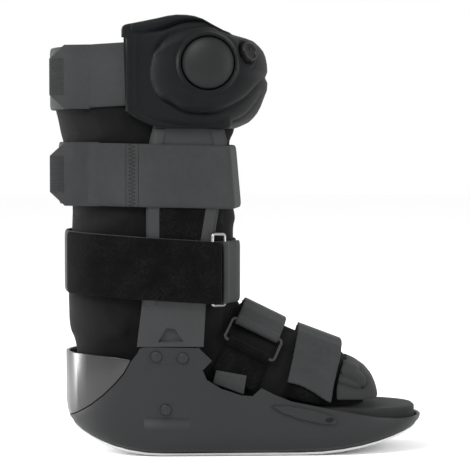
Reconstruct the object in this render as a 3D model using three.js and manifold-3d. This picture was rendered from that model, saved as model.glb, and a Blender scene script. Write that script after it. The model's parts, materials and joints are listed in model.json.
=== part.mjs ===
// Medical walking boot: rocker shell, side struts, padded liner, straps and a pump cover.
// Frame: +X from heel to toe, -Y the side with the pump, +Z up, origin on the flat of the sole.
// All lengths are millimetres.

import * as THREE from 'three';
import { mergeVertices } from 'three/addons/utils/BufferGeometryUtils.js';
import Module from 'manifold-3d';

const wasm = await Module();
wasm.setup();

// Clearance between pieces that touch on the real boot
const GAP = 0.3;

// Sole
const HEEL_SETBACK = 139;
const SOLE_LENGTH = 293.5;
const TOWER_HALF = 62;
const BALL_HALF = 57;
const HEEL_ROUNDNESS = 2.2;
const TOE_ROUNDNESS = 2.5;
const FLAT_REAR = -58;
const FLAT_FRONT = 52;
const HEEL_ROCKER_RADIUS = 145;
const TOE_ROCKER_RADIUS = 250;
const OUTSOLE_THICKNESS = 2.2;
const OUTSOLE_INSET = 6;

// Base shell
const TOWER_TOP = 88;
const SHELL_WALL = 3.8;
const FLOOR_HEIGHT = 25;
const FLOOR_THICKNESS = 3;

// Heel cup
const CUP_TOP = 80.5;
const CUP_WALL = 2.6;
const CUP_LEAN = 3;

// Insole board
const BOARD_TOP = 36.5;
const BOARD_INSET = 10.2;
const BOARD_TOE_INSET = 7;

// Side struts
const STRUT_OUTER = 62;
const STRUT_THICKNESS = 4.4;
const STRUT_REAR = -78;
const STRUT_WIDTH = 53;
const STRUT_TOP = 292;
const TONGUE_THICKNESS = 3;
const TONGUE_FOOT = 31;
const RIM_WIDTH = 8.5;
const RIM_HEIGHT = 1.5;
const RIM_SETBACK = 2;
const RECESS_DEPTH = 1.6;
const RECESS_BASE = 92;
const RECESS_HEIGHT = 11;
const RECESS_WIDTH = 19;
const PAD_THICKNESS = 1.1;
const PAD_BASE = 112;
const PAD_TOP = 248;

// Rivets
const RIVET_HEAD_RADIUS = 4.8;
const RIVET_HEAD_HEIGHT = 1.9;
const RIVET_SHANK_RADIUS = 2.4;
const RIVET_SIDES = 10;

// Liner
const LINER_TUCK = 11.4;
const LINER_PAD = 12;
const LINER_SOLE = 7;
const FOOT_PAD = 6;
const LEG_DEPTH = 132;
const LEG_FRONT = -1;
const LINER_TOP = 330;
const RIM_RISE = 13;
const RIM_RISE_X = -46;
const RIM_RISE_SPREAD = 42;
const LEG_SPLIT = 134;
const FOOT_SPLIT = -14;
const REAR_SQUARENESS = 2.5;
const FRONT_SQUARENESS = 3.3;
const TOE_OF_LINER = 106;

// Straps
const STRAP_WIDTH = 51;
const STRAP_THICKNESS = 2.3;
const TOP_STRAP_Z = 305;
const MIDDLE_STRAP_Z = 225;
const ANKLE_STRAP_Z = 152;
const ANKLE_SLOPE = -0.06;
const OVERLAP_THICKNESS = 3;
const TAB_REACH = -148;
const TAB_THICKNESS = 2.6;
const TAB_GRIP = 13;
const TAB_CHAMFER = 11;
const TAB_START = 251;
const RIB_COUNT = 14;
const RIB_HEIGHT = 0.8;
const WIRE_RADIUS = 1.7;
const WIRE_SIDES = 6;
const RING_REAR = -18;
const RING_FRONT_Y = -56;
const RING_OVERHANG = 5;
const RING_CORNER = 3;
const FOLD_SPLIT = -9;
const FOLD_SIDE_Y = -32;
const FOLD_FRONT_Y = -12;
const FOLD_INSET = 0.5;

// Foot straps
const FOOT_STRAP_WIDTH = 38;
const FOOT_STRAP_THICKNESS = 2.4;
const FOOT_PAD_THICKNESS = 2.5;
const WEBBING_THICKNESS = 1.7;
const INSTEP_CENTRE_X = 25.5;
const INSTEP_CENTRE_Z = 115;
const INSTEP_TILT = 26;
const TOE_STRAP_CENTRE_X = 70;
const TOE_STRAP_CENTRE_Z = 96;
const TOE_STRAP_TILT = 13;
const TOE_STRAP_FOOT = 53;
const TOE_PAD_FOOT = 39.5;
const INSTEP_UPPER_BAR = 17;
const INSTEP_LOWER_BAR = 31;
const WEBBING_FOOT = 52.5;
const PATCH_LENGTH = 26;
const PATCH_HEIGHT = 16;
const PATCH_THICKNESS = 0.6;

// Toe cover
const COVER_PAD = 5;
const HOOD_REAR = 88;
const HOOD_FRONT = 116;
const HOOD_BASE = 44;

// Pump cover
const FLANGE = 3;
const PUMP_BULGE = 22;
const PUMP_BASE = 261.5;
const PUMP_HEIGHT = 91;
const PUMP_REAR = -90;
const FAR_BULGE_SHARE = 0.3;
const BULB_RADIUS = 20.7;
const BULB_HEIGHT = 9;
const BULB_X = -22;
const BULB_Z = 313;
const BULB_SEAT = 5;
const BULB_SIDES = 24;
const DIAL_SIDES = 16;
const DIAL_RADIUS = 7.2;
const DIAL_HEIGHT = 5;
const DIAL_SEAT = 3;
const DIAL_Z = 321;
const DIAL_PLACE_TURN = 74;
const DIAL_TURN = 48;
const DIAL_LIFT = 0.35;

const HEEL_END = -HEEL_SETBACK;
const TOE_END = HEEL_END + SOLE_LENGTH;
const { lerp, smoothstep, degToRad } = THREE.MathUtils;

// Materials
function finish(color, roughness, metalness = 0) {
  return new THREE.MeshStandardMaterial({ color, roughness, metalness });
}
const PALE_RUBBER = () => finish(0xa4a5a3, 0.75);
const HARD_SHELL = () => finish(0x474a4a, 0.5);
const SATIN_CUP = () => finish(0x5b5e60, 0.3);
const GREY_STRAP = () => finish(0x4b4e4e, 0.8);
const BLACK_LOOP = () => finish(0x1b1d1e, 0.95);
const LINER_CLOTH = () => finish(0x202325, 0.9);
const COVER_CLOTH = () => finish(0x2a2c2e, 0.75);
const RUBBER = () => finish(0x323435, 0.5);
const STEEL = () => finish(0x8a8c8e, 0.3, 1);

const boot = new THREE.Group();

// Adds one closed solid to the boot as a named mesh.
function addPiece(name, solid, material) {
  const data = solid.getMesh();
  const geometry = new THREE.BufferGeometry();
  geometry.setAttribute('position', new THREE.Float32BufferAttribute(data.vertProperties, 3));
  geometry.setIndex(Array.from(data.triVerts));
  const piece = new THREE.Mesh(geometry, material);
  piece.name = name;
  boot.add(piece);
}

// Turns a closed geometry into a solid.
function solidOf(geometry) {
  const bare = geometry.clone();
  bare.deleteAttribute('normal');
  bare.deleteAttribute('uv');
  const merged = mergeVertices(bare, 1e-4);
  const mesh = new wasm.Mesh({
    numProp: 3,
    vertProperties: Float32Array.from(merged.attributes.position.array),
    triVerts: Uint32Array.from(merged.index.array),
  });
  return new wasm.Manifold(mesh);
}

// Closed body of points and triangles, turned so that its faces point out.
function bodyOf(points, triangles) {
  let volume = 0;
  for (const [a, b, c] of triangles) {
    volume += points[a].dot(points[b].clone().cross(points[c]));
  }
  const faces = volume < 0 ? triangles.map(([a, b, c]) => [a, c, b]) : triangles;
  const geometry = new THREE.BufferGeometry();
  const flat = points.flatMap((point) => point.toArray());
  geometry.setAttribute('position', new THREE.Float32BufferAttribute(flat, 3));
  geometry.setIndex(faces.flat());
  return solidOf(geometry);
}

// Quads between the matching points of rings that follow each other.
function skinTriangles(rings, closed) {
  const size = rings[0].length;
  const spans = closed ? rings.length : rings.length - 1;
  const triangles = [];
  for (let r = 0; r < spans; r += 1) {
    const low = r * size;
    const high = ((r + 1) % rings.length) * size;
    for (let k = 0; k < size; k += 1) {
      const next = (k + 1) % size;
      triangles.push([low + k, low + next, high + next]);
      triangles.push([low + k, high + next, high + k]);
    }
  }
  return triangles;
}

// Solid through rings, closed by a fan at each end, or closed on itself.
function loft(rings, closed = false) {
  const size = rings[0].length;
  const points = rings.flat();
  const triangles = skinTriangles(rings, closed);
  if (!closed) {
    const ends = [[0, true], [(rings.length - 1) * size, false]];
    for (const [start, turned] of ends) {
      const centre = new THREE.Vector3();
      for (let k = 0; k < size; k += 1) centre.addScaledVector(points[start + k], 1 / size);
      const hub = points.push(centre) - 1;
      for (let k = 0; k < size; k += 1) {
        const a = start + k;
        const b = start + ((k + 1) % size);
        triangles.push(turned ? [hub, b, a] : [hub, a, b]);
      }
    }
  }
  return bodyOf(points, triangles);
}

function boxSolid(low, high) {
  const size = high.map((value, axis) => value - low[axis]);
  const geometry = new THREE.BoxGeometry(...size);
  geometry.translate(...low.map((value, axis) => value + size[axis] / 2));
  return solidOf(geometry);
}

// Prism of a side outline, given as points of X and Z, between two values of Y.
function sidePrism(outline, yLow, yHigh) {
  const shape = new THREE.Shape(outline.map(({ x, z }) => new THREE.Vector2(x, z)));
  const geometry = new THREE.ExtrudeGeometry(shape, { depth: yHigh - yLow, bevelEnabled: false });
  geometry.rotateX(Math.PI / 2);
  geometry.translate(0, yHigh, 0);
  return solidOf(geometry);
}

// Reach past every piece, for cutting
const WIDE = SOLE_LENGTH;
const HIGH = 2 * SOLE_LENGTH;

// Half width of the shell at a place along the sole
function soleHalf(x) {
  if (x < FLAT_REAR) {
    const share = Math.min(1, (FLAT_REAR - x) / (FLAT_REAR - HEEL_END));
    return TOWER_HALF * (1 - share ** HEEL_ROUNDNESS) ** (1 / HEEL_ROUNDNESS);
  }
  if (x > FLAT_FRONT) {
    const share = Math.min(1, (x - FLAT_FRONT) / (TOE_END - FLAT_FRONT));
    return BALL_HALF * (1 - share ** TOE_ROUNDNESS) ** (1 / TOE_ROUNDNESS);
  }
  return lerp(TOWER_HALF, BALL_HALF, smoothstep(x, FLAT_REAR, FLAT_FRONT));
}

// Height of the rocker's underside
function rocker(x) {
  const behind = Math.min(Math.max(0, FLAT_REAR - x), HEEL_ROCKER_RADIUS * 0.9);
  const ahead = Math.min(Math.max(0, x - FLAT_FRONT), TOE_ROCKER_RADIUS * 0.9);
  const rear = HEEL_ROCKER_RADIUS - Math.sqrt(HEEL_ROCKER_RADIUS ** 2 - behind ** 2);
  return rear + TOE_ROCKER_RADIUS - Math.sqrt(TOE_ROCKER_RADIUS ** 2 - ahead ** 2);
}

const shellBase = (x) => rocker(x) + OUTSOLE_THICKNESS + GAP;
const floorAt = (x) => Math.max(FLOOR_HEIGHT, shellBase(x) + FLOOR_THICKNESS);

// Places along the sole, closer together towards the round ends
const END_STEPS = 9;
const FLAT_STEPS = 5;
const STATIONS = [];
for (let k = 0; k < END_STEPS; k += 1) {
  const turn = (k / END_STEPS) * Math.PI / 2;
  STATIONS.push(FLAT_REAR - (FLAT_REAR - HEEL_END) * Math.cos(turn));
}
for (let k = 0; k < FLAT_STEPS; k += 1) STATIONS.push(lerp(FLAT_REAR, FLAT_FRONT, k / FLAT_STEPS));
for (let k = 0; k <= END_STEPS; k += 1) {
  const turn = (k / END_STEPS) * Math.PI / 2;
  STATIONS.push(FLAT_FRONT + (TOE_END - FLAT_FRONT) * Math.sin(turn));
}

// Point of the sole's outline at a station, moved inwards square to the outline
function insetPoint(index, inset) {
  const x = STATIONS[index];
  if (index === 0) return { x: x + inset, y: 0 };
  if (index === STATIONS.length - 1) return { x: x - inset, y: 0 };
  const step = 0.01;
  const slope = (soleHalf(x + step) - soleHalf(x - step)) / (2 * step);
  const scale = 1 / Math.hypot(1, slope);
  return { x: x + inset * slope * scale, y: soleHalf(x) - inset * scale };
}

// Ring round the sole: near side from heel to toe, then back along the far side
function soleRing({ inset, height }) {
  const insetAt = typeof inset === 'function' ? inset : () => inset;
  const half = STATIONS.map((x, index) => insetPoint(index, insetAt(x)));
  const near = half.map(({ x, y }) => new THREE.Vector3(x, -y, height(x)));
  const far = half.slice(1, -1).reverse().map(({ x, y }) => new THREE.Vector3(x, y, height(x)));
  return [...near, ...far];
}

// Body through rings round the sole, closed by strips across it
function soleBody(levels) {
  const rings = levels.map(soleRing);
  const size = rings[0].length;
  const triangles = skinTriangles(rings, false);
  for (const [start, turned] of [[0, true], [(rings.length - 1) * size, false]]) {
    for (let k = 0; k < STATIONS.length - 1; k += 1) {
      const corners = [k, k + 1, (size - k - 1) % size, (size - k) % size];
      const [a, b, c, d] = corners.map((corner) => start + corner);
      for (const face of [[a, b, c], [a, c, d]]) {
        const whole = new Set(face).size === 3;
        if (whole) triangles.push(turned ? face.reverse() : face);
      }
    }
  }
  return bodyOf(rings.flat(), triangles);
}

// Base shell's top edge from the heel seam over the tower to the toe,
// as shares of the sole's length and the tower's height
const SEAM_EDGE = [
  { along: -0.02, up: 0.30 },
  { along: 0.016, up: 0.325 },
  { along: 0.045, up: 0.375 },
  { along: 0.080, up: 0.452 },
  { along: 0.116, up: 0.550 },
  { along: 0.146, up: 0.650 },
  { along: 0.173, up: 0.755 },
  { along: 0.190, up: 0.860 },
  { along: 0.208, up: 0.935 },
];
const FRONT_EDGE = [
  { along: 0.215, up: 0.985 },
  { along: 0.228, up: 1.0 },
  { along: 0.375, up: 0.992 },
  { along: 0.388, up: 0.95 },
  { along: 0.411, up: 0.874 },
  { along: 0.386, up: 0.788 },
  { along: 0.397, up: 0.700 },
  { along: 0.436, up: 0.619 },
  { along: 0.492, up: 0.556 },
  { along: 0.521, up: 0.549 },
  { along: 0.546, up: 0.622 },
  { along: 0.582, up: 0.560 },
  { along: 0.628, up: 0.498 },
  { along: 0.711, up: 0.442 },
  { along: 0.783, up: 0.396 },
  { along: 0.850, up: 0.350 },
  { along: 0.918, up: 0.322 },
  { along: 1.02, up: 0.318 },
];
const edgePoint = ({ along, up }) => ({ x: HEEL_END + along * SOLE_LENGTH, z: up * TOWER_TOP });

function makeSole() {
  const outsole = soleBody([
    { inset: OUTSOLE_INSET + 1.5, height: rocker },
    { inset: OUTSOLE_INSET - 0.5, height: (x) => rocker(x) + OUTSOLE_THICKNESS },
  ]);
  addPiece('outsole', outsole, PALE_RUBBER());
}

const hullOutside = (extra) => soleBody([
  { inset: OUTSOLE_INSET - extra, height: shellBase },
  { inset: OUTSOLE_INSET * 0.45 - extra, height: (x) => shellBase(x) + 2.5 },
  { inset: OUTSOLE_INSET * 0.12 - extra, height: (x) => shellBase(x) + 8 },
  { inset: -extra, height: (x) => shellBase(x) + 15 },
  { inset: -extra, height: () => TOWER_TOP + 20 },
]);

// Inner face of the shell's wall where the struts' tongues lie
const STRUT_FRONT = STRUT_REAR + STRUT_WIDTH;
const TONGUE_OUTER = Math.min(soleHalf(STRUT_REAR), soleHalf(STRUT_FRONT)) - SHELL_WALL - 1.2 * GAP;
const TONGUE_INNER = TONGUE_OUTER - TONGUE_THICKNESS;

// Places of the rivets, as shares of the strut's width and the tower's height
const RIVETS = [
  { across: 0.29, up: 0.915 },
  { across: 0.69, up: 0.900 },
  { across: 0.43, up: 0.430 },
];
const rivetPlace = ({ across, up }) => ({ x: STRUT_REAR + across * STRUT_WIDTH, z: up * TOWER_TOP });

// Pin along Y through the shell's tower and the strut's tongue, with some clearance
function rivetHole({ x, z }, side) {
  const length = TOWER_HALF - TONGUE_INNER + 10;
  const pin = new THREE.CylinderGeometry(
    RIVET_SHANK_RADIUS + GAP, RIVET_SHANK_RADIUS + GAP, length, RIVET_SIDES);
  pin.translate(x, side * (TONGUE_INNER - 2 + length / 2), z);
  return solidOf(pin);
}

function makeShell() {
  const seam = SEAM_EDGE.map(edgePoint);
  const front = FRONT_EDGE.map(edgePoint);
  const below = [{ x: TOE_END + 20, z: -20 }, { x: HEEL_END - 20, z: -20 }];
  const edge = sidePrism([...seam, ...front, ...below], -WIDE, WIDE);
  const cavity = soleBody([
    { inset: SHELL_WALL + 2, height: floorAt },
    { inset: SHELL_WALL, height: (x) => floorAt(x) + 5 },
    { inset: SHELL_WALL, height: () => 2 * TOWER_TOP },
  ]);
  let shell = hullOutside(0).subtract(cavity).intersect(edge);
  for (const side of [-1, 1]) {
    for (const place of RIVETS) shell = shell.subtract(rivetHole(rivetPlace(place), side));
  }
  addPiece('base_shell', shell, HARD_SHELL());

  // The cup stands on the seam, a clearance behind it and in front cut square
  const above = seam.map(({ x, z }) => ({ x: x - 2 * GAP, z: z + 2 * GAP }));
  const behind = [
    { x: seam.at(-2).x - 2 * GAP, z: CUP_TOP - CUP_LEAN },
    { x: seam.at(-2).x - 14, z: CUP_TOP - CUP_LEAN * 0.4 },
    { x: HEEL_END + 20, z: CUP_TOP },
    { x: HEEL_END - 20, z: CUP_TOP },
  ];
  const limit = above.filter(({ z }) => z < CUP_TOP - CUP_LEAN);
  const region = sidePrism([...limit, ...behind], -WIDE, WIDE);
  const inside = soleBody([
    { inset: CUP_WALL, height: (x) => rocker(x) - 10 },
    { inset: CUP_WALL, height: () => 2 * TOWER_TOP },
  ]);
  const cup = hullOutside(0).subtract(inside).intersect(region);
  addPiece('heel_cup', cup, SATIN_CUP());
}

function makeBoard() {
  const insetAt = (x) => lerp(BOARD_INSET, BOARD_TOE_INSET, smoothstep(x, FLAT_FRONT, TOE_END - 20));
  const board = soleBody([
    { inset: insetAt, height: (x) => floorAt(x) + GAP },
    { inset: insetAt, height: (x) => Math.max(BOARD_TOP - 1.5, floorAt(x) + GAP + 1) },
    { inset: (x) => insetAt(x) + 1.5, height: () => BOARD_TOP },
  ]);
  addPiece('insole_board', board, GREY_STRAP());
}

// Struts: edges as shares of the height above the seam and of the strut's width
const STRUT_EDGES = [
  { up: 0, rear: 0.0, front: 1.0 },
  { up: 0.165, rear: 0.075, front: 1.035 },
  { up: 0.41, rear: 0.142, front: 1.150 },
  { up: 0.53, rear: 0.142, front: 1.226 },
  { up: 0.80, rear: 0.190, front: 1.355 },
  { up: 0.85, rear: 0.240, front: 1.305 },
  { up: 0.96, rear: 0.330, front: 1.200 },
  { up: 1.0, rear: 0.400, front: 1.120 },
];
const strutX = (share) => STRUT_REAR + share * STRUT_WIDTH;
const STRUT_SEAM = TOWER_TOP + GAP;
const strutZ = (up) => STRUT_SEAM + up * (STRUT_TOP - STRUT_SEAM);

function outlineBetween(rows, rearShift, frontShift) {
  const rear = rows.map(({ up, rear: share }) => ({ x: strutX(share) + rearShift, z: strutZ(up) }));
  const front = rows.map(({ up, front: share }) => ({ x: strutX(share) - frontShift, z: strutZ(up) }));
  return [...rear, ...front.reverse()];
}

// One strut on the far side; the near one is its mirror image.
function strutSolid() {
  const inner = STRUT_OUTER - STRUT_THICKNESS;
  let strut = sidePrism(outlineBetween(STRUT_EDGES, 0, 0), inner, STRUT_OUTER);
  const rimRows = STRUT_EDGES.filter(({ up }) => up > 0.1 && up < 0.9);
  for (const flip of [false, true]) {
    const rim = rimRows.map(({ up, rear, front }) => {
      const edge = flip ? strutX(front) - RIM_SETBACK : strutX(rear) + RIM_SETBACK;
      const width = flip ? -RIM_WIDTH : RIM_WIDTH;
      return { z: strutZ(up), outer: edge, inner: edge + width };
    });
    const outline = [
      ...rim.map(({ z, outer }) => ({ x: outer, z })),
      ...rim.reverse().map(({ z, inner: x }) => ({ x, z })),
    ];
    strut = strut.add(sidePrism(outline, STRUT_OUTER - 0.5, STRUT_OUTER + RIM_HEIGHT));
  }
  const tongue = [
    { x: strutX(0.06), z: TONGUE_FOOT },
    { x: strutX(0.94), z: TONGUE_FOOT },
    { x: strutX(0.94), z: STRUT_SEAM + 7 },
    { x: strutX(0.06), z: STRUT_SEAM + 7 },
  ];
  strut = strut.add(sidePrism(tongue, TONGUE_INNER, TONGUE_OUTER));
  const joggle = tongue.map(({ x, z }) => ({ x, z: Math.max(z, STRUT_SEAM) }));
  strut = strut.add(sidePrism(joggle, TONGUE_INNER, inner + 1));
  const middle = strutX(0.5);
  const recess = [
    { x: middle - RECESS_WIDTH / 2, z: RECESS_BASE },
    { x: middle + RECESS_WIDTH / 2, z: RECESS_BASE },
    { x: middle + RECESS_WIDTH / 6, z: RECESS_BASE + RECESS_HEIGHT },
    { x: middle - RECESS_WIDTH / 6, z: RECESS_BASE + RECESS_HEIGHT },
  ];
  strut = strut.subtract(sidePrism(recess, STRUT_OUTER - RECESS_DEPTH, STRUT_OUTER + 5));
  for (const place of RIVETS) strut = strut.subtract(rivetHole(rivetPlace(place), 1));
  return strut;
}

function makeStruts() {
  const strut = strutSolid();
  const padRows = STRUT_EDGES.filter(({ up }) => up > 0.1 && up < 0.9);
  const inset = RIM_SETBACK + RIM_WIDTH + GAP;
  const outline = outlineBetween(padRows, inset, inset);
  const base = Math.max(PAD_BASE, strutZ(padRows[0].up));
  const face = STRUT_OUTER + GAP;
  const pad = sidePrism(outline, face, face + PAD_THICKNESS)
    .intersect(boxSolid([-WIDE, 0, base], [WIDE, WIDE, PAD_TOP]));
  addPiece('strut_far', strut, HARD_SHELL());
  addPiece('strut_near', strut.mirror([0, 1, 0]), HARD_SHELL());
  addPiece('hook_pad_far', pad, BLACK_LOOP());
  addPiece('hook_pad_near', pad.mirror([0, 1, 0]), BLACK_LOOP());

  // Domed heads outside the tower, shanks through to the tongue's inner face
  RIVETS.forEach((place, index) => {
    const { x, z } = rivetPlace(place);
    const seat = soleHalf(x) + GAP;
    const shankEnd = TONGUE_INNER + GAP;
    const profile = [
      new THREE.Vector2(0, shankEnd),
      new THREE.Vector2(RIVET_SHANK_RADIUS, shankEnd),
      new THREE.Vector2(RIVET_SHANK_RADIUS, seat),
      new THREE.Vector2(RIVET_HEAD_RADIUS, seat),
    ];
    for (let k = 1; k <= 3; k += 1) {
      const turn = (k / 3) * Math.PI / 2;
      const rise = RIVET_HEAD_HEIGHT * (0.3 + 0.7 * Math.sin(turn));
      profile.push(new THREE.Vector2(k === 3 ? 0 : RIVET_HEAD_RADIUS * Math.cos(turn), seat + rise));
    }
    const geometry = new THREE.LatheGeometry(profile, RIVET_SIDES);
    geometry.translate(x, 0, z);
    const rivet = solidOf(geometry);
    addPiece(`rivet_far_${index + 1}`, rivet, STEEL());
    addPiece(`rivet_near_${index + 1}`, rivet.mirror([0, 1, 0]), STEEL());
  });
}

// Leg of the liner: height as a share from the board to the top, back and front as shares of the leg's
// depth, half width as a share of the room inside the struts. In the heel cup, the back's place is
// a share of the liner's tuck ahead of the sole's heel.
const LEG_TABLE = [
  { up: 0.0, heel: 1.68, front: 0.060, half: 0.76 },
  { up: 0.045, heel: 1.11, front: 0.035, half: 0.85 },
  { up: 0.112, heel: 0.85, front: 0.010, half: 0.872 },
  { up: 0.175, heel: 0.70, front: 0.010, half: 0.878 },
  { up: 0.205, back: 1.010, front: 0.008, half: 0.895 },
  { up: 0.240, back: 1.026, front: 0.004, half: 0.985 },
  { up: 0.300, back: 1.030, front: 0.0, half: 1.0 },
  { up: 0.545, back: 1.0, front: 0.005, half: 1.0 },
  { up: 0.738, back: 1.060, front: 0.030, half: 1.0 },
  { up: 0.835, back: 1.118, front: 0.030, half: 1.0 },
  { up: 1.0, back: 1.115, front: 0.030, half: 1.0 },
];
const LINER_BASE = BOARD_TOP + GAP;
const LEG_HALF = STRUT_OUTER - STRUT_THICKNESS - GAP;
const LEG_STEPS = 28;

function legRing({ up, back, heel, front, half }, inset, lift = 0) {
  const rear = (heel ? HEEL_END + heel * LINER_TUCK : LEG_FRONT - back * LEG_DEPTH) + inset;
  const nose = LEG_FRONT - front * LEG_DEPTH - inset;
  const middle = (rear + nose) / 2;
  const reach = (nose - rear) / 2;
  const width = half * LEG_HALF - inset;
  const height = LINER_BASE + up * (LINER_TOP - LINER_BASE) + lift;
  const ring = [];
  for (let k = 0; k < LEG_STEPS; k += 1) {
    const turn = (k / LEG_STEPS) * 2 * Math.PI;
    const c = Math.cos(turn);
    const s = Math.sin(turn);
    const power = 2 / (c > 0 ? FRONT_SQUARENESS : REAR_SQUARENESS);
    const x = middle + reach * Math.sign(c) * Math.abs(c) ** power;
    const y = width * Math.sign(s) * Math.abs(s) ** power;
    const swell = up === 1 ? RIM_RISE * Math.exp(-(((x - RIM_RISE_X) / RIM_RISE_SPREAD) ** 2)) : 0;
    ring.push(new THREE.Vector3(x, y, height + swell));
  }
  return ring;
}

// Foot of the liner: place as a share from the leg's axis to the toe opening,
// top as a share of the tower's height, half width as a share of the room in the shell
const LEG_AXIS = LEG_FRONT - LEG_DEPTH / 2;
const FOOT_TABLE = [
  { along: 0.05, top: 1.30, half: 0.96 },
  { along: 0.30, top: 1.48, half: 0.98 },
  { along: 0.39, top: 1.372, half: 0.98 },
  { along: 0.41, top: 1.352, half: 0.98 },
  { along: 0.605, top: 1.170, half: 0.98 },
  { along: 0.685, top: 1.095, half: 0.98 },
  { along: 0.870, top: 0.945, half: 0.96 },
  { along: 0.915, top: 0.850, half: 0.94 },
  { along: 0.970, top: 0.745, half: 0.90 },
  { along: 1.0, top: 0.650, half: 0.86 },
];
const FOOT_STEPS = 18;
const FOOT_SQUARENESS = 2.3;

function footRing({ along, top, half }, inset, push = 0) {
  const x = lerp(LEG_AXIS, TOE_OF_LINER, along) + push;
  const reach = (soleHalf(lerp(LEG_AXIS, TOE_OF_LINER, along)) - LINER_TUCK) * half - inset;
  const low = LINER_BASE + (inset ? LINER_SOLE : 0);
  const high = top * TOWER_TOP - inset;
  const waist = lerp(low, high, 0.3);
  const ring = [];
  for (let k = 0; k < FOOT_STEPS; k += 1) {
    const turn = (k / FOOT_STEPS) * 2 * Math.PI;
    const c = Math.cos(turn);
    const s = Math.sin(turn);
    const power = s < 0 ? 2 / 5 : 2 / FOOT_SQUARENESS;
    const y = reach * Math.sign(c) * Math.abs(c) ** power;
    const rise = Math.abs(s) ** power * (s < 0 ? low - waist : high - waist);
    ring.push(new THREE.Vector3(x, y, waist + rise));
  }
  return ring;
}

const LEG_RINGS = LEG_TABLE.map((row) => legRing(row, 0));
const FOOT_RINGS = FOOT_TABLE.map((row) => footRing(row, 0));

// The liner's leg, heel and foot are separate solids, a clearance apart
function makeLiner() {
  const leg = loft(LEG_RINGS);
  const foot = loft(FOOT_RINGS);
  const legInside = LEG_TABLE.map((row, index) => legRing(row, LINER_PAD, index ? 0 : LINER_SOLE));
  const above = legRing({ ...LEG_TABLE.at(-1), up: 1.1 }, LINER_PAD);
  const footInside = FOOT_TABLE.map((row) => footRing(row, FOOT_PAD));
  footInside.push(footRing(FOOT_TABLE.at(-1), FOOT_PAD, 20));
  const liner = leg.add(foot).subtract(loft([...legInside, above])).subtract(loft(footInside));
  const legRoom = boxSolid([-WIDE, -WIDE, LEG_SPLIT + GAP / 2], [WIDE, WIDE, HIGH]);
  const heelRoom = boxSolid([-WIDE, -WIDE, -WIDE], [FOOT_SPLIT - GAP / 2, WIDE, LEG_SPLIT - GAP / 2]);
  const footRoom = boxSolid([FOOT_SPLIT + GAP / 2, -WIDE, -WIDE], [WIDE, WIDE, LEG_SPLIT - GAP / 2]);
  addPiece('liner_leg', liner.intersect(legRoom), LINER_CLOTH());
  addPiece('liner_heel', liner.intersect(heelRoom), LINER_CLOTH());
  addPiece('liner_foot', liner.intersect(footRoom), LINER_CLOTH());
}

// Toe cover: a rounded hood over the liner's toe, open behind and below
const HOOD_TABLE = [
  { along: 0.0, top: 0.885, half: 1.02 },
  { along: 0.35, top: 0.835, half: 0.99 },
  { along: 0.65, top: 0.770, half: 0.92 },
  { along: 0.86, top: 0.690, half: 0.80 },
  { along: 0.96, top: 0.615, half: 0.66 },
  { along: 1.0, top: 0.560, half: 0.50 },
];
function makeToeCover() {
  const ringAt = ({ along, top, half }, inset, push) => {
    const x = lerp(HOOD_REAR, HOOD_FRONT, along) + push;
    const reach = (soleHalf(HOOD_REAR) - LINER_TUCK + COVER_PAD) * half - inset;
    const height = top * TOWER_TOP - BOARD_TOP - inset;
    const ring = [];
    for (let k = 0; k < FOOT_STEPS; k += 1) {
      const turn = (k / FOOT_STEPS) * 2 * Math.PI;
      const c = Math.cos(turn);
      const s = Math.sin(turn);
      const y = reach * Math.sign(c) * Math.abs(c) ** 0.8;
      ring.push(new THREE.Vector3(x, y, BOARD_TOP + 8 + Math.sign(s) * Math.abs(s) ** 0.8 * (height - 8)));
    }
    return ring;
  };
  const outer = loft(HOOD_TABLE.map((row) => ringAt(row, 0, 0)));
  const inside = loft([
    ringAt(HOOD_TABLE[0], COVER_PAD, -20),
    ...HOOD_TABLE.slice(0, -1).map((row) => ringAt(row, COVER_PAD, -2)),
  ]);
  const below = boxSolid([HOOD_REAR - 5, -WIDE, -20], [HOOD_FRONT + 20, WIDE, HOOD_BASE]);
  const linerRoom = loft(FOOT_TABLE.map((row) => footRing(row, 0, GAP)
    .map(({ x, y, z }) => new THREE.Vector3(x, y + Math.sign(y) * 2 * GAP, z + 2 * GAP))));
  const hood = outer.subtract(inside).subtract(below).subtract(linerRoom);
  addPiece('toe_cover', hood, GREY_STRAP());
}

// Outline drawn tight round points of a plane, kept a distance off them, by support lines
const WRAP_STEPS = 48;
function wrap(points, distance) {
  const turns = [];
  for (let k = 0; k < WRAP_STEPS; k += 1) {
    const turn = (k / WRAP_STEPS) * 2 * Math.PI;
    const c = Math.cos(turn);
    const s = Math.sin(turn);
    let reach = -Infinity;
    for (const { u, v } of points) reach = Math.max(reach, u * c + v * s);
    turns.push({ c, s, reach: reach + distance });
  }
  return turns.map((a, k) => {
    const b = turns[(k + 1) % WRAP_STEPS];
    const spread = a.c * b.s - a.s * b.c;
    return { u: (a.reach * b.s - b.reach * a.s) / spread, v: (b.reach * a.c - a.reach * b.c) / spread };
  });
}

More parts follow.
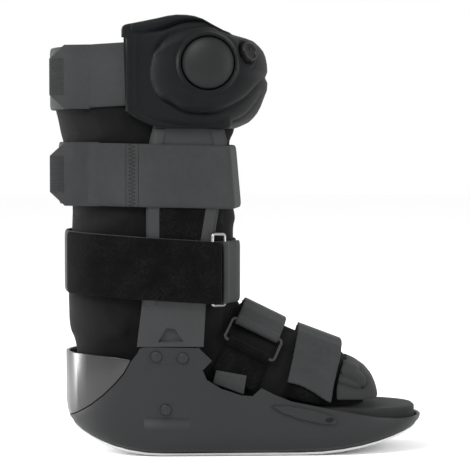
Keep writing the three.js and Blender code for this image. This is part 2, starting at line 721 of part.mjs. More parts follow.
// Points that a leg strap goes round between two heights
function legPoints(low, high) {
  const points = [];
  const rows = LEG_TABLE.map(({ up }) => LINER_BASE + up * (LINER_TOP - LINER_BASE));
  LEG_RINGS.forEach((ring, index) => {
    const reach = rows[index] > low - 8 && rows[index] < high + 8;
    if (reach) points.push(...ring.map(({ x, y }) => ({ u: x, v: y })));
  });
  const levels = [low, (low + high) / 2, high];
  for (const z of levels) {
    const up = (z - STRUT_SEAM) / (STRUT_TOP - STRUT_SEAM);
    const index = STRUT_EDGES.findIndex((row) => row.up >= up);
    if (index < 1 || up > 1) continue;
    const [a, b] = [STRUT_EDGES[index - 1], STRUT_EDGES[index]];
    const share = (up - a.up) / (b.up - a.up);
    const rear = strutX(lerp(a.rear, b.rear, share));
    const front = strutX(lerp(a.front, b.front, share));
    for (const side of [-1, 1]) {
      points.push({ u: rear, v: side * STRUT_OUTER });
      points.push({ u: front, v: side * STRUT_OUTER });
      points.push({ u: rear + RIM_SETBACK, v: side * (STRUT_OUTER + RIM_HEIGHT) });
      points.push({ u: front - RIM_SETBACK, v: side * (STRUT_OUTER + RIM_HEIGHT) });
    }
  }
  return points;
}

// Band between two distances off what it wraps, from one height to another
function legBand(points, from, to, low, high, slope = 0) {
  const ringAt = (distance, z) => wrap(points, distance)
    .map(({ u, v }) => new THREE.Vector3(u, v, z + slope * (u - LEG_AXIS)));
  return loft([ringAt(from, low), ringAt(to, low), ringAt(to, high), ringAt(from, high)], true);
}

// Pull tab: a stiff plate that leaves the strap at its tangent, ribbed at the end
function pullTab(points, centre) {
  const half = STRAP_WIDTH / 2;
  const outer = wrap(points, GAP + STRAP_THICKNESS);
  const index = Math.round((TAB_START / 360) * WRAP_STEPS);
  const start = outer[index];
  const turn = ((index + 0.5) / WRAP_STEPS) * 360;
  const length = (start.u - TAB_REACH) / Math.cos(degToRad(turn - 270));
  const plate = [
    { x: 0, z: -half },
    { x: length - TAB_GRIP, z: -half },
    { x: length, z: -half + TAB_CHAMFER },
    { x: length, z: half - TAB_CHAMFER },
    { x: length - TAB_GRIP, z: half },
    { x: 0, z: half },
  ];
  let tab = sidePrism(plate, -TAB_THICKNESS, 0);
  const pitch = (STRAP_WIDTH - 2 * TAB_CHAMFER) / RIB_COUNT;
  for (let k = 0; k < RIB_COUNT; k += 1) {
    const z = -half + TAB_CHAMFER + (k + 0.25) * pitch;
    const low = [length - TAB_GRIP, -TAB_THICKNESS - RIB_HEIGHT, z];
    tab = tab.add(boxSolid(low, [length - 0.5, -TAB_THICKNESS + 0.2, z + pitch / 2]));
  }
  return tab.translate([0, 0.8, 0])
    .mirror([1, 0, 0])
    .rotate([0, 0, turn - 270])
    .translate([start.u, start.v, centre]);
}

// Place where a strap's near half crosses a value of u or v, going from the back to the front
function nearCrossing(path, key, value) {
  for (let k = WRAP_STEPS / 2; k < WRAP_STEPS; k += 1) {
    const a = path[k - 1];
    const b = path[k];
    if (a[key] < value && b[key] >= value && a.v < 0 && a.u > LEG_AXIS) {
      const share = (value - a[key]) / (b[key] - a[key]);
      return { u: lerp(a.u, b.u, share), v: lerp(a.v, b.v, share) };
    }
  }
  return path[WRAP_STEPS * 0.75];
}

const TOP_POINTS = legPoints(TOP_STRAP_Z - STRAP_WIDTH / 2, TOP_STRAP_Z + STRAP_WIDTH / 2);
const MIDDLE_POINTS = legPoints(MIDDLE_STRAP_Z - STRAP_WIDTH / 2, MIDDLE_STRAP_Z + STRAP_WIDTH / 2);
const ANKLE_POINTS = legPoints(
  ANKLE_STRAP_Z - STRAP_WIDTH / 2 - RING_OVERHANG,
  ANKLE_STRAP_Z + STRAP_WIDTH / 2 + RING_OVERHANG,
);

// Wire loop through corner points, with round corners
function wireLoop(corners, corner) {
  const path = [];
  corners.forEach((point, index) => {
    const before = corners[(index + corners.length - 1) % corners.length];
    const after = corners[(index + 1) % corners.length];
    const inward = before.clone().sub(point).setLength(corner);
    const outward = after.clone().sub(point).setLength(corner);
    for (let k = 0; k <= 3; k += 1) {
      const turn = (k / 3) * Math.PI / 2;
      path.push(point.clone()
        .addScaledVector(inward, 1 - Math.sin(turn))
        .addScaledVector(outward, 1 - Math.cos(turn)));
    }
  });
  const flat = new THREE.Vector3().crossVectors(
    corners[1].clone().sub(corners[0]), corners[2].clone().sub(corners[1])).normalize();
  const rings = path.map((point, index) => {
    const before = path[(index + path.length - 1) % path.length];
    const after = path[(index + 1) % path.length];
    const side = after.clone().sub(before).cross(flat).normalize();
    const ring = [];
    for (let k = 0; k < WIRE_SIDES; k += 1) {
      const turn = (k / WIRE_SIDES) * 2 * Math.PI;
      ring.push(point.clone()
        .addScaledVector(side, WIRE_RADIUS * Math.cos(turn))
        .addScaledVector(flat, WIRE_RADIUS * Math.sin(turn)));
    }
    return ring;
  });
  return loft(rings, true);
}

// Round bar between two points, for channels
function barSolid(from, to, radius) {
  const length = from.distanceTo(to);
  const geometry = new THREE.CylinderGeometry(radius, radius, length, 10);
  const turn = new THREE.Quaternion().setFromUnitVectors(
    new THREE.Vector3(0, 1, 0), to.clone().sub(from).normalize());
  geometry.applyQuaternion(turn);
  const middle = from.clone().add(to).multiplyScalar(0.5);
  geometry.translate(middle.x, middle.y, middle.z);
  return solidOf(geometry);
}

function makeLegStraps() {
  for (const [name, centre, points] of [
    ['top_strap', TOP_STRAP_Z, TOP_POINTS],
    ['middle_strap', MIDDLE_STRAP_Z, MIDDLE_POINTS],
  ]) {
    const low = centre - STRAP_WIDTH / 2;
    const band = legBand(points, GAP, GAP + STRAP_THICKNESS, low, low + STRAP_WIDTH);
    addPiece(name, band.add(pullTab(points, centre)), GREY_STRAP());
  }

  // Ankle strap: loop, then the fold-back over it with the wire ring in channels between the two
  const low = ANKLE_STRAP_Z - STRAP_WIDTH / 2;
  const high = low + STRAP_WIDTH;
  const loopOuter = GAP + STRAP_THICKNESS;
  const topOuter = loopOuter + GAP + OVERLAP_THICKNESS;
  let loop = legBand(ANKLE_POINTS, GAP, loopOuter, low, high, ANKLE_SLOPE);
  const foldLow = low + FOLD_INSET;
  const foldHigh = high - FOLD_INSET;
  const fold = legBand(ANKLE_POINTS, loopOuter + GAP, topOuter, foldLow, foldHigh, ANKLE_SLOPE);
  const middle = wrap(ANKLE_POINTS, loopOuter + GAP);
  const barAt = ({ u, v }) => {
    const z = ANKLE_STRAP_Z + ANKLE_SLOPE * (u - LEG_AXIS);
    return [-1, 1].map((side) => new THREE.Vector3(u, v, z + side * (STRAP_WIDTH / 2 + RING_OVERHANG)));
  };
  const nearBar = barAt(nearCrossing(middle, 'u', RING_REAR));
  const frontBar = barAt(nearCrossing(middle, 'v', RING_FRONT_Y));
  const channel = (bar) => barSolid(bar[0], bar[1], WIRE_RADIUS + GAP);
  loop = loop.subtract(channel(nearBar)).subtract(channel(frontBar));
  const overlap = fold.intersect(boxSolid([-WIDE, -WIDE, 0], [FOLD_SPLIT - GAP, FOLD_SIDE_Y, HIGH]))
    .subtract(channel(nearBar)).subtract(channel(frontBar));
  const front = fold.intersect(boxSolid([FOLD_SPLIT, -WIDE, 0], [WIDE, FOLD_FRONT_Y, HIGH]))
    .subtract(channel(nearBar)).subtract(channel(frontBar));
  const ring = wireLoop([nearBar[0], frontBar[0], frontBar[1], nearBar[1]], RING_CORNER);
  addPiece('ankle_strap', loop, GREY_STRAP());
  addPiece('ankle_overlap', overlap, BLACK_LOOP());
  addPiece('ankle_wrap', front, GREY_STRAP());
  addPiece('ankle_ring', ring, STEEL());
}

// Plane of a foot strap: origin on the ridge, across the foot, leaning by its tilt
function strapFrame(x, z, tilt) {
  const lean = degToRad(tilt);
  const ahead = new THREE.Vector3(Math.cos(lean), 0, -Math.sin(lean));
  const up = new THREE.Vector3(Math.sin(lean), 0, Math.cos(lean));
  const origin = new THREE.Vector3(x, 0, z);
  return {
    toWorld: (along, u, v) => origin.clone()
      .addScaledVector(ahead, along).addScaledVector(up, v).add(new THREE.Vector3(0, u, 0)),
    toLocal: (point) => {
      const offset = point.clone().sub(origin);
      return { along: offset.dot(ahead), u: offset.y, v: offset.dot(up) };
    },
  };
}

// Liner points near one edge of a foot strap, in the strap's plane
function footPoints(frame, from, to) {
  const points = [];
  for (let k = 0; k < FOOT_RINGS.length - 1; k += 1) {
    for (let step = 0; step < 4; step += 1) {
      FOOT_RINGS[k].forEach((point, index) => {
        const between = point.clone().lerp(FOOT_RINGS[k + 1][index], step / 4);
        const local = frame.toLocal(between);
        if (local.along >= from && local.along <= to) points.push(local);
      });
    }
  }
  return points;
}

// Band across the foot between two distances off the liner, and only above a height there
function footBand(frame, rear, front, from, to, width) {
  const ringAt = (points, distance, along) => wrap(points, distance)
    .map(({ u, v }) => frame.toWorld(along, u, v));
  return loft([
    ringAt(rear, from, -width / 2),
    ringAt(rear, to, -width / 2),
    ringAt(front, to, width / 2),
    ringAt(front, from, width / 2),
  ], true);
}

// Part of a foot strap's plane, wide along the foot, between two places across and up
function slabOf(frame, uLow, uHigh, vLow, vHigh) {
  const ring = (along) => [
    frame.toWorld(along, uLow, vLow),
    frame.toWorld(along, uHigh, vLow),
    frame.toWorld(along, uHigh, vHigh),
    frame.toWorld(along, uLow, vHigh),
  ];
  return loft([ring(-WIDE), ring(WIDE)]);
}

// Place on the strap's path at a height below the ridge, on the near side
function pathPlace(points, distance, drop) {
  const path = wrap(points, distance).filter(({ u }) => u < 0);
  let best = path[0];
  for (const place of path) {
    if (Math.abs(place.v + drop) < Math.abs(best.v + drop)) best = place;
  }
  return best;
}

function makeInstepStrap() {
  const frame = strapFrame(INSTEP_CENTRE_X, INSTEP_CENTRE_Z, INSTEP_TILT);
  const half = FOOT_STRAP_WIDTH / 2;
  const points = footPoints(frame, -half - 4, half + 4);
  const stack = GAP + FOOT_PAD_THICKNESS + GAP;
  const eyeRadius = WIRE_RADIUS + GAP + 1.7;
  const barDistance = eyeRadius + GAP;
  const upper = pathPlace(points, barDistance, INSTEP_UPPER_BAR);
  const lower = pathPlace(points, barDistance, INSTEP_LOWER_BAR);
  const bar = ({ u, v }, reach) => [
    frame.toWorld(-reach, u, v),
    frame.toWorld(reach, u, v),
  ];
  const eye = (place, radius, reach) => barSolid(...bar(place, reach), radius);
  const split = (upper.v + lower.v) / 2;
  const shellTuck = WEBBING_FOOT - INSTEP_CENTRE_Z;

  const band = footBand(frame, points, points, stack, stack + FOOT_STRAP_THICKNESS, FOOT_STRAP_WIDTH);
  const overTop = band.intersect(slabOf(frame, -WIDE, WIDE, upper.v, WIDE));
  const farSide = footBand(frame, points, points, GAP, GAP + WEBBING_THICKNESS, FOOT_STRAP_WIDTH - 4)
    .intersect(slabOf(frame, 0, WIDE, shellTuck, split));
  const farFull = band.intersect(slabOf(frame, 0, WIDE, split - 2, upper.v + 1));
  const strap = overTop.add(farFull).add(eye(upper, eyeRadius, half))
    .subtract(eye(upper, WIRE_RADIUS + GAP, 2 * half));
  addPiece('instep_strap', strap, GREY_STRAP());

  const pad = footBand(frame, points, points, GAP, GAP + FOOT_PAD_THICKNESS, FOOT_STRAP_WIDTH + 3)
    .intersect(slabOf(frame, -WIDE, WIDE, upper.v + eyeRadius + GAP, WIDE));
  addPiece('instep_pad', pad, BLACK_LOOP());

  const ring = wireLoop([...bar(upper, half + 3), ...bar(lower, half + 3).reverse()], 2.5);
  addPiece('instep_ring', ring, STEEL());

  const web = footBand(frame, points, points, GAP, GAP + WEBBING_THICKNESS, FOOT_STRAP_WIDTH);
  const webbing = web.intersect(slabOf(frame, -WIDE, 0, shellTuck, lower.v))
    .add(eye(lower, eyeRadius, half - 1))
    .subtract(eye(lower, WIRE_RADIUS + GAP, 2 * half));
  addPiece('instep_webbing', webbing, BLACK_LOOP());
  const farWebbing = farSide.intersect(slabOf(frame, 0, WIDE, shellTuck, split - 2 - GAP));
  addPiece('instep_webbing_far', farWebbing, BLACK_LOOP());

  const patchBack = GAP + WEBBING_THICKNESS + GAP;
  const patch = footBand(frame, points, points, patchBack, patchBack + PATCH_THICKNESS, PATCH_LENGTH)
    .intersect(slabOf(frame, -WIDE, 0, shellTuck, shellTuck + PATCH_HEIGHT));
  addPiece('instep_patch', patch, GREY_STRAP());
}

// Crescent clip outline on the shell's side, as shares of the sole's length and the tower's height
const CLIP_OUTLINE = [
  { along: 0.575, up: 0.462 },
  { along: 0.600, up: 0.405 },
  { along: 0.650, up: 0.345 },
  { along: 0.710, up: 0.300 },
  { along: 0.745, up: 0.295 },
  { along: 0.752, up: 0.325 },
  { along: 0.735, up: 0.372 },
  { along: 0.690, up: 0.420 },
  { along: 0.620, up: 0.462 },
];

function makeToeStrap() {
  const frame = strapFrame(TOE_STRAP_CENTRE_X, TOE_STRAP_CENTRE_Z, TOE_STRAP_TILT);
  const half = FOOT_STRAP_WIDTH / 2;
  const rear = footPoints(frame, -half - 5, 3);
  const front = footPoints(frame, 3, half + 1);
  const stack = GAP + FOOT_PAD_THICKNESS + GAP;
  const depth = TOE_STRAP_CENTRE_Z;
  const strap = footBand(frame, rear, front, stack, stack + FOOT_STRAP_THICKNESS, FOOT_STRAP_WIDTH)
    .intersect(slabOf(frame, -WIDE, WIDE, TOE_STRAP_FOOT - depth, WIDE));
  addPiece('toe_strap', strap, GREY_STRAP());
  const pad = footBand(frame, rear, front, GAP, GAP + FOOT_PAD_THICKNESS, FOOT_STRAP_WIDTH - 1)
    .intersect(slabOf(frame, -WIDE, WIDE, TOE_PAD_FOOT - depth, WIDE));
  addPiece('toe_pad', pad, BLACK_LOOP());
  const clipBand = hullOutside(2.2).subtract(hullOutside(GAP));
  const clipSide = sidePrism(CLIP_OUTLINE.map(edgePoint), 0, WIDE);
  const clip = clipBand.intersect(clipSide);
  addPiece('toe_clip_far', clip, HARD_SHELL());
  addPiece('toe_clip_near', clip.mirror([0, 1, 0]), HARD_SHELL());
}

// Pump cover: bottom and top edges along X, and the swell up its height, as shares
const COVER_TOP = [
  { along: -0.05, up: 0.895 },
  { along: 0.0, up: 0.905 },
  { along: 0.27, up: 0.965 },
  { along: 0.42, up: 1.0 },
  { along: 0.60, up: 0.965 },
  { along: 0.70, up: 0.905 },
  { along: 0.80, up: 0.845 },
  { along: 0.90, up: 0.820 },
  { along: 1.2, up: 0.790 },
];
const COVER_BOTTOM = [
  { along: -0.05, up: 0.155 },
  { along: 0.0, up: 0.150 },
  { along: 0.08, up: 0.095 },
  { along: 0.25, up: 0.020 },
  { along: 0.40, up: 0.0 },
  { along: 1.2, up: 0.0 },
];
const SWELL_UP = [
  { up: 0.0, share: 0.0 },
  { up: 0.10, share: 0.30 },
  { up: 0.22, share: 0.72 },
  { up: 0.38, share: 0.96 },
  { up: 0.55, share: 1.0 },
  { up: 0.68, share: 0.90 },
  { up: 0.82, share: 0.56 },
  { up: 0.92, share: 0.26 },
  { up: 0.97, share: 0.18 },
  { up: 1.0, share: 0.06 },
];
const SWELL_ALONG = [
  { along: 0.0, share: 0.0 },
  { along: 0.10, share: 0.0 },
  { along: 0.19, share: 0.45 },
  { along: 0.27, share: 0.80 },
  { along: 0.38, share: 0.98 },
  { along: 0.50, share: 1.18 },
  { along: 0.60, share: 0.92 },
  { along: 0.66, share: 0.74 },
  { along: 0.76, share: FAR_BULGE_SHARE },
  { along: 0.90, share: 0.05 },
  { along: 1.0, share: 0.0 },
];

function readTable(rows, key, at, value) {
  const index = rows.findIndex((row) => row[key] >= at);
  if (index <= 0) return index === 0 ? rows[0][value] : rows.at(-1)[value];
  const [a, b] = [rows[index - 1], rows[index]];
  return lerp(a[value], b[value], smoothstep(at, a[key], b[key]));
}

// Path that the cover follows in plan, from its near rear edge round the front to the far one
const COVER_SPAN = 11;
const COVER_LEVELS = 9;
function coverPath() {
  const covered = [...TOP_POINTS, ...legPoints(PUMP_BASE, TOP_STRAP_Z)];
  const outline = wrap(covered, GAP + STRAP_THICKNESS + 2 * GAP);
  const nearStart = outline.findIndex(({ u, v }) => v < 0 && u > PUMP_REAR);
  const before = outline[nearStart - 1];
  const after = outline[nearStart];
  const share = (PUMP_REAR - before.u) / (after.u - before.u);
  const start = { u: PUMP_REAR, v: lerp(before.v, after.v, share) };
  const near = [start];
  for (let k = nearStart; k < nearStart + WRAP_STEPS; k += 1) {
    const place = outline[k % WRAP_STEPS];
    if (place.v >= -2) break;
    const last = near.at(-1);
    const length = Math.hypot(place.u - last.u, place.v - last.v);
    if (length < COVER_SPAN / 3) continue;
    const parts = Math.ceil(length / COVER_SPAN);
    for (let n = 1; n <= parts; n += 1) {
      near.push({ u: lerp(last.u, place.u, n / parts), v: lerp(last.v, place.v, n / parts) });
    }
  }
  const corner = near.at(-1);
  near.push({ u: corner.u, v: corner.v / 2 });
  const far = near.slice().reverse().map(({ u, v }) => ({ u, v: -v }));
  const corners = [...near, ...far].map(({ u, v }) => new THREE.Vector3(u, v, 0));
  const lengths = [0];
  for (let k = 1; k < corners.length; k += 1) {
    lengths.push(lengths[k - 1] + corners[k].distanceTo(corners[k - 1]));
  }
  const at = (along) => {
    const goal = along * lengths.at(-1);
    const k = Math.min(Math.max(1, lengths.findIndex((length) => length >= goal)), corners.length - 1);
    const part = (goal - lengths[k - 1]) / Math.max(1e-6, lengths[k] - lengths[k - 1]);
    return corners[k - 1].clone().lerp(corners[k], part);
  };
  return { at, stations: lengths.map((length) => length / lengths.at(-1)) };
}
const { at: COVER_PATH, stations: COVER_STATIONS } = coverPath();
const COVER_STEPS = COVER_STATIONS.length - 1;

// Point of the cover's outside, with its outward direction in plan
function coverPlace(along, up) {
  const here = COVER_PATH(along);
  const step = 0.045;
  const before = COVER_PATH(Math.max(0, along - step));
  const after = COVER_PATH(Math.min(1, along + step));
  const outward = after.clone().sub(before).cross(new THREE.Vector3(0, 0, 1)).normalize();
  const share = (here.x - PUMP_REAR) / -PUMP_REAR;
  const low = PUMP_BASE + PUMP_HEIGHT * readTable(COVER_BOTTOM, 'along', share, 'up');
  const high = PUMP_BASE + PUMP_HEIGHT * readTable(COVER_TOP, 'along', share, 'up');
  const z = lerp(low, high, up);
  const swell = PUMP_BULGE * readTable(SWELL_ALONG, 'along', along, 'share')
    * readTable(SWELL_UP, 'up', up, 'share');
  const outer = here.clone().addScaledVector(outward, FLANGE + swell);
  outer.z = z;
  const inner = here.clone().setZ(z);
  return { inner, outer, outward };
}

// Place on the cover nearest to an X or share along it, at a height
function coverAt(along, z) {
  const low = coverPlace(along, 0).outer.z;
  const high = coverPlace(along, 1).outer.z;
  return coverPlace(along, (z - low) / (high - low));
}

function alongAtX(x) {
  for (let along = 0; along < 0.5; along += 0.002) {
    if (COVER_PATH(along).x >= x) return along;
  }
  return 0.5;
}

// Place round the front corner where the cover faces a number of degrees off the near side
function alongAtTurn(turn) {
  for (let along = 0; along < 0.5; along += 0.002) {
    const { outward } = coverPlace(along, 0.5);
    if (Math.atan2(outward.x, -outward.y) >= degToRad(turn)) return along;
  }
  return 0.5;
}

// Round body on an axis that points out of the cover
function turnedBody(profile, steps, seat, axis) {
  const geometry = new THREE.LatheGeometry(profile.map(({ r, h }) => new THREE.Vector2(r, h)), steps);
  geometry.applyQuaternion(new THREE.Quaternion().setFromUnitVectors(new THREE.Vector3(0, 1, 0), axis));
  geometry.translate(seat.x, seat.y, seat.z);
  return solidOf(geometry);
}

function makePump() {
  const inner = [];
  const outer = [];
  for (let i = 0; i <= COVER_STEPS; i += 1) {
    for (let j = 0; j <= COVER_LEVELS; j += 1) {
      const place = coverPlace(COVER_STATIONS[i], j / COVER_LEVELS);
      inner.push(place.inner);
      outer.push(place.outer);
    }
  }
  const size = COVER_LEVELS + 1;
  const count = inner.length;
  const triangles = [];
  const quad = (a, b, c, d) => triangles.push([a, b, c], [a, c, d]);
  for (let i = 0; i < COVER_STEPS; i += 1) {
    for (let j = 0; j < COVER_LEVELS; j += 1) {
      const a = i * size + j;
      quad(count + a, count + a + size, count + a + size + 1, count + a + 1);
      quad(a, a + 1, a + size + 1, a + size);
    }
    for (const j of [0, COVER_LEVELS]) {
      const a = i * size + j;
      if (j) quad(a, count + a, count + a + size, a + size);
      else quad(a, a + size, count + a + size, count + a);
    }
  }
  for (let j = 0; j < COVER_LEVELS; j += 1) {
    const b = COVER_STEPS * size + j;
    quad(j, count + j, count + j + 1, j + 1);
    quad(b, b + 1, count + b + 1, count + b);
  }
  let cover = bodyOf([...inner, ...outer], triangles.map(([a, b, c]) => [a, c, b]));

  const bulb = coverAt(alongAtX(BULB_X), BULB_Z);
  const bulbAxis = new THREE.Vector3(0.06, -1, 0).normalize();
  const bulbSeat = bulb.outer.clone().addScaledVector(bulbAxis, -BULB_SEAT);
  const pocket = (radius, top) => [
    { r: 0, h: 0 }, { r: radius, h: 0 }, { r: radius, h: top }, { r: 0, h: top },
  ];
  cover = cover.subtract(turnedBody(pocket(BULB_RADIUS + GAP, 30), BULB_SIDES, bulbSeat, bulbAxis));
  const dome = [{ r: 0, h: GAP }, { r: BULB_RADIUS, h: GAP }, { r: BULB_RADIUS, h: BULB_SEAT }];
  for (let k = 1; k <= 5; k += 1) {
    const turn = (k / 5) * Math.PI / 2;
    dome.push({
      r: k === 5 ? 0 : BULB_RADIUS * Math.cos(turn),
      h: BULB_SEAT + BULB_HEIGHT * Math.sin(turn),
    });
  }
  addPiece('pump_bulb', turnedBody(dome, BULB_SIDES, bulbSeat, bulbAxis), RUBBER());

  const dial = coverAt(alongAtTurn(DIAL_PLACE_TURN), DIAL_Z);
  const facing = degToRad(DIAL_TURN);
  const dialAxis = new THREE.Vector3(Math.sin(facing), -Math.cos(facing), DIAL_LIFT).normalize();
  const dialSeat = dial.outer.clone().addScaledVector(dialAxis, -DIAL_SEAT);
  const dialPocket = pocket(DIAL_RADIUS + 2 * GAP, 4 * DIAL_RADIUS);
  cover = cover.subtract(turnedBody(dialPocket, DIAL_SIDES, dialSeat, dialAxis));
  const knob = [
    { r: 0, h: GAP },
    { r: DIAL_RADIUS, h: GAP },
    { r: DIAL_RADIUS, h: DIAL_SEAT + DIAL_HEIGHT - 1 },
    { r: DIAL_RADIUS - 1, h: DIAL_SEAT + DIAL_HEIGHT },
    { r: DIAL_RADIUS - 2.2, h: DIAL_SEAT + DIAL_HEIGHT },
    { r: DIAL_RADIUS - 2.6, h: DIAL_SEAT + DIAL_HEIGHT - 1.2 },
    { r: 0, h: DIAL_SEAT + DIAL_HEIGHT - 1.2 },
  ];
  addPiece('valve_dial', turnedBody(knob, DIAL_SIDES, dialSeat, dialAxis), RUBBER());
  addPiece('pump_cover', cover, COVER_CLOTH());
}

makeSole();
makeShell();
makeBoard();
makeStruts();
makeLiner();
makeToeCover();
makeLegStraps();
makeInstepStrap();
makeToeStrap();
makePump();

export default boot;
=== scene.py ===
import json
import math

import bpy
import numpy as np
from mathutils import Matrix, Vector

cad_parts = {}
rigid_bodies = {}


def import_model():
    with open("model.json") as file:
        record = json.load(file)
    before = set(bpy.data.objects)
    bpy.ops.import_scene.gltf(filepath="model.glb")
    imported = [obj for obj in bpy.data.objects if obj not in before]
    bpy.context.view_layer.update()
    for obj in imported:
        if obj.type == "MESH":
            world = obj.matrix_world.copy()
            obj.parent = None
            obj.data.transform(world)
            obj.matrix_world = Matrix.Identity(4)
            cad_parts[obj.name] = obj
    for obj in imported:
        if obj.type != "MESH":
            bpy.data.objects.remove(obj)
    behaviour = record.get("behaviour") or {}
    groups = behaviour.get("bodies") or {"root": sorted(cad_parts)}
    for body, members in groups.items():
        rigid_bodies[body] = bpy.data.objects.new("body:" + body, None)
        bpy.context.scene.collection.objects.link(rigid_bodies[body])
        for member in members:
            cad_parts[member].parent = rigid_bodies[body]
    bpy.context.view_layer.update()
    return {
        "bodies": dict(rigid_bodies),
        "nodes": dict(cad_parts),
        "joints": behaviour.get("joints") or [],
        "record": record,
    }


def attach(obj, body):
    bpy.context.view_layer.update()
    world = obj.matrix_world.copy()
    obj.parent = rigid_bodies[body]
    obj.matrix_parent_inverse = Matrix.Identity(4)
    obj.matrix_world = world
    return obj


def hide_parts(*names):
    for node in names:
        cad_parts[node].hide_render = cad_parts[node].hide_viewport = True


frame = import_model()
scene = bpy.context.scene
scene.view_settings.view_transform = "Standard"
MM = 0.001
LENS = 168.0
CAMERA_DISTANCE = 1.8
CAMERA_HEIGHT = 0.2606
CAMERA_DIP = 2.74
# area lamps: name, place, target, width, height, watts
LAMPS = (
    ("key", (-0.9, -1.3, 1.6), (0, 0, 0.2), 0.9, 0.9, 45),
    ("rear_strip", (-1.25, 0.35, 0.3), (-0.1, 0, 0.1), 0.12, 0.9, 24),
    ("front_strip", (1.1, -0.7, 0.45), (0, 0, 0.2), 0.12, 0.9, 9),
)
FLOOR_SIZE = 14
FLOOR_LEVEL = -0.0005


# camera, floor and light
def aim(obj, target):
    direction = Vector(target) - obj.location
    obj.rotation_euler = direction.to_track_quat("-Z", "Y").to_euler()


def place_camera():
    data = bpy.data.cameras.new("camera")
    camera = bpy.data.objects.new("camera", data)
    scene.collection.objects.link(camera)
    data.sensor_width = 36.0
    data.lens = LENS
    camera.location = (0.0, -CAMERA_DISTANCE, CAMERA_HEIGHT)
    camera.rotation_euler = (math.radians(90 - CAMERA_DIP), 0, 0)
    scene.camera = camera


def place_light(name, location, target, wide, high, power):
    data = bpy.data.lights.new(name, "AREA")
    data.shape = "RECTANGLE"
    data.size = wide
    data.size_y = high
    data.energy = power
    lamp = bpy.data.objects.new(name, data)
    scene.collection.objects.link(lamp)
    lamp.location = location
    aim(lamp, target)


def place_studio():
    world = bpy.data.worlds.new("studio")
    scene.world = world
    world.use_nodes = True
    sky = world.node_tree.nodes["Background"]
    sky.inputs["Color"].default_value = (1, 1, 1, 1)
    sky.inputs["Strength"].default_value = 1.0
    for lamp in LAMPS:
        place_light(*lamp)
    bpy.ops.mesh.primitive_plane_add(size=FLOOR_SIZE, location=(0, 0, FLOOR_LEVEL))
    floor = bpy.context.object
    floor.name = "floor"
    floor.data.materials.append(plain("floor_paint", (0.97, 0.97, 0.97), 0.9))


# modelling helpers
def pick(*objs):
    bpy.ops.object.select_all(action="DESELECT")
    for obj in objs:
        obj.select_set(True)
    bpy.context.view_layer.objects.active = objs[0]


def modify(obj, kind, **settings):
    pick(obj)
    step = obj.modifiers.new(kind.lower(), kind)
    for key, value in settings.items():
        setattr(step, key, value)
    bpy.ops.object.modifier_apply(modifier=step.name)


def edit(obj, *steps):
    pick(obj)
    bpy.ops.object.mode_set(mode="EDIT")
    bpy.ops.mesh.select_all(action="SELECT")
    for step, settings in steps:
        getattr(bpy.ops.mesh, step)(**settings)
    bpy.ops.object.mode_set(mode="OBJECT")


def face_out(piece):
    edit(piece, ("normals_make_consistent", dict(inside=False)))


def turn_to(axis):
    return Vector(axis).to_track_quat("Z", "Y").to_matrix()


def join(name, *pieces):
    pick(*pieces)
    if len(pieces) > 1:
        bpy.ops.object.join()
    pieces[0].name = name
    return pieces[0]


def settle(piece):
    pick(piece)
    bpy.ops.object.transform_apply(location=True, rotation=True, scale=True)


def traced(name, *nodes):
    """A new piece from copies of CAD solids, with their points joined."""
    copies = []
    for node in nodes:
        copy = bpy.data.objects.new(name, frame["nodes"][node].data.copy())
        copy.data.materials.clear()
        scene.collection.objects.link(copy)
        copies.append(copy)
    piece = join(name, *copies)
    edit(piece, ("remove_doubles", dict(threshold=1e-5)))
    return piece


def smooth_shade(piece, angle=35):
    pick(piece)
    bpy.ops.object.shade_smooth_by_angle(angle=math.radians(angle))


def soft_shade(piece):
    pick(piece)
    bpy.ops.object.shade_smooth()


def finished(piece, look, *nodes, body="boot"):
    """Gives a piece its look and its body, and hides the nodes that it stands for."""
    piece.data.materials.clear()
    piece.data.materials.append(looks[look])
    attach(piece, body)
    if nodes:
        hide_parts(*nodes)
    return piece


def moulded(name, look, *nodes, width):
    """A hard piece: the CAD solid with its edges rounded."""
    piece = traced(name, *nodes)
    edit(piece, ("dissolve_limited", dict(angle_limit=math.radians(1.5))))
    modify(piece, "BEVEL", width=width * MM, segments=3, limit_method="ANGLE",
           angle_limit=math.radians(32), miter_outer="MITER_ARC")
    smooth_shade(piece)
    return finished(piece, look, *nodes)


def places(piece):
    """A piece's points, in millimetres."""
    flat = np.empty(len(piece.data.vertices) * 3)
    piece.data.vertices.foreach_get("co", flat)
    return flat.reshape(-1, 3) / MM


def place_all(piece, points):
    piece.data.vertices.foreach_set("co", (points * MM).ravel())
    piece.data.update()


def meshed(name, points, faces):
    mesh = bpy.data.meshes.new(name)
    mesh.from_pydata((np.array(points) * MM).tolist(), [], faces)
    piece = bpy.data.objects.new(name, mesh)
    scene.collection.objects.link(piece)
    return piece


def prism(name, outline, near, far):
    """A closed flat-sided body between two depths, its outline in X and Z."""
    count = len(outline)
    points = [(x, near, z) for x, z in outline] + [(x, far, z) for x, z in outline]
    faces = [tuple(range(count)), tuple(reversed(range(count, 2 * count)))]
    faces += [(k, k + count, (k + 1) % count + count, (k + 1) % count) for k in range(count)]
    body = meshed(name, points, faces)
    face_out(body)
    return body


def cut_away(piece, tool):
    modify(piece, "BOOLEAN", operation="DIFFERENCE", object=tool, solver="EXACT")
    bpy.data.objects.remove(tool)


def remade(name, voxel, rounds, *nodes):
    """A copy of CAD nodes as one even mesh, smoothed so many rounds."""
    piece = traced(name, *nodes)
    modify(piece, "REMESH", mode="VOXEL", voxel_size=voxel * MM)
    modify(piece, "SMOOTH", factor=0.5, iterations=rounds)
    return piece


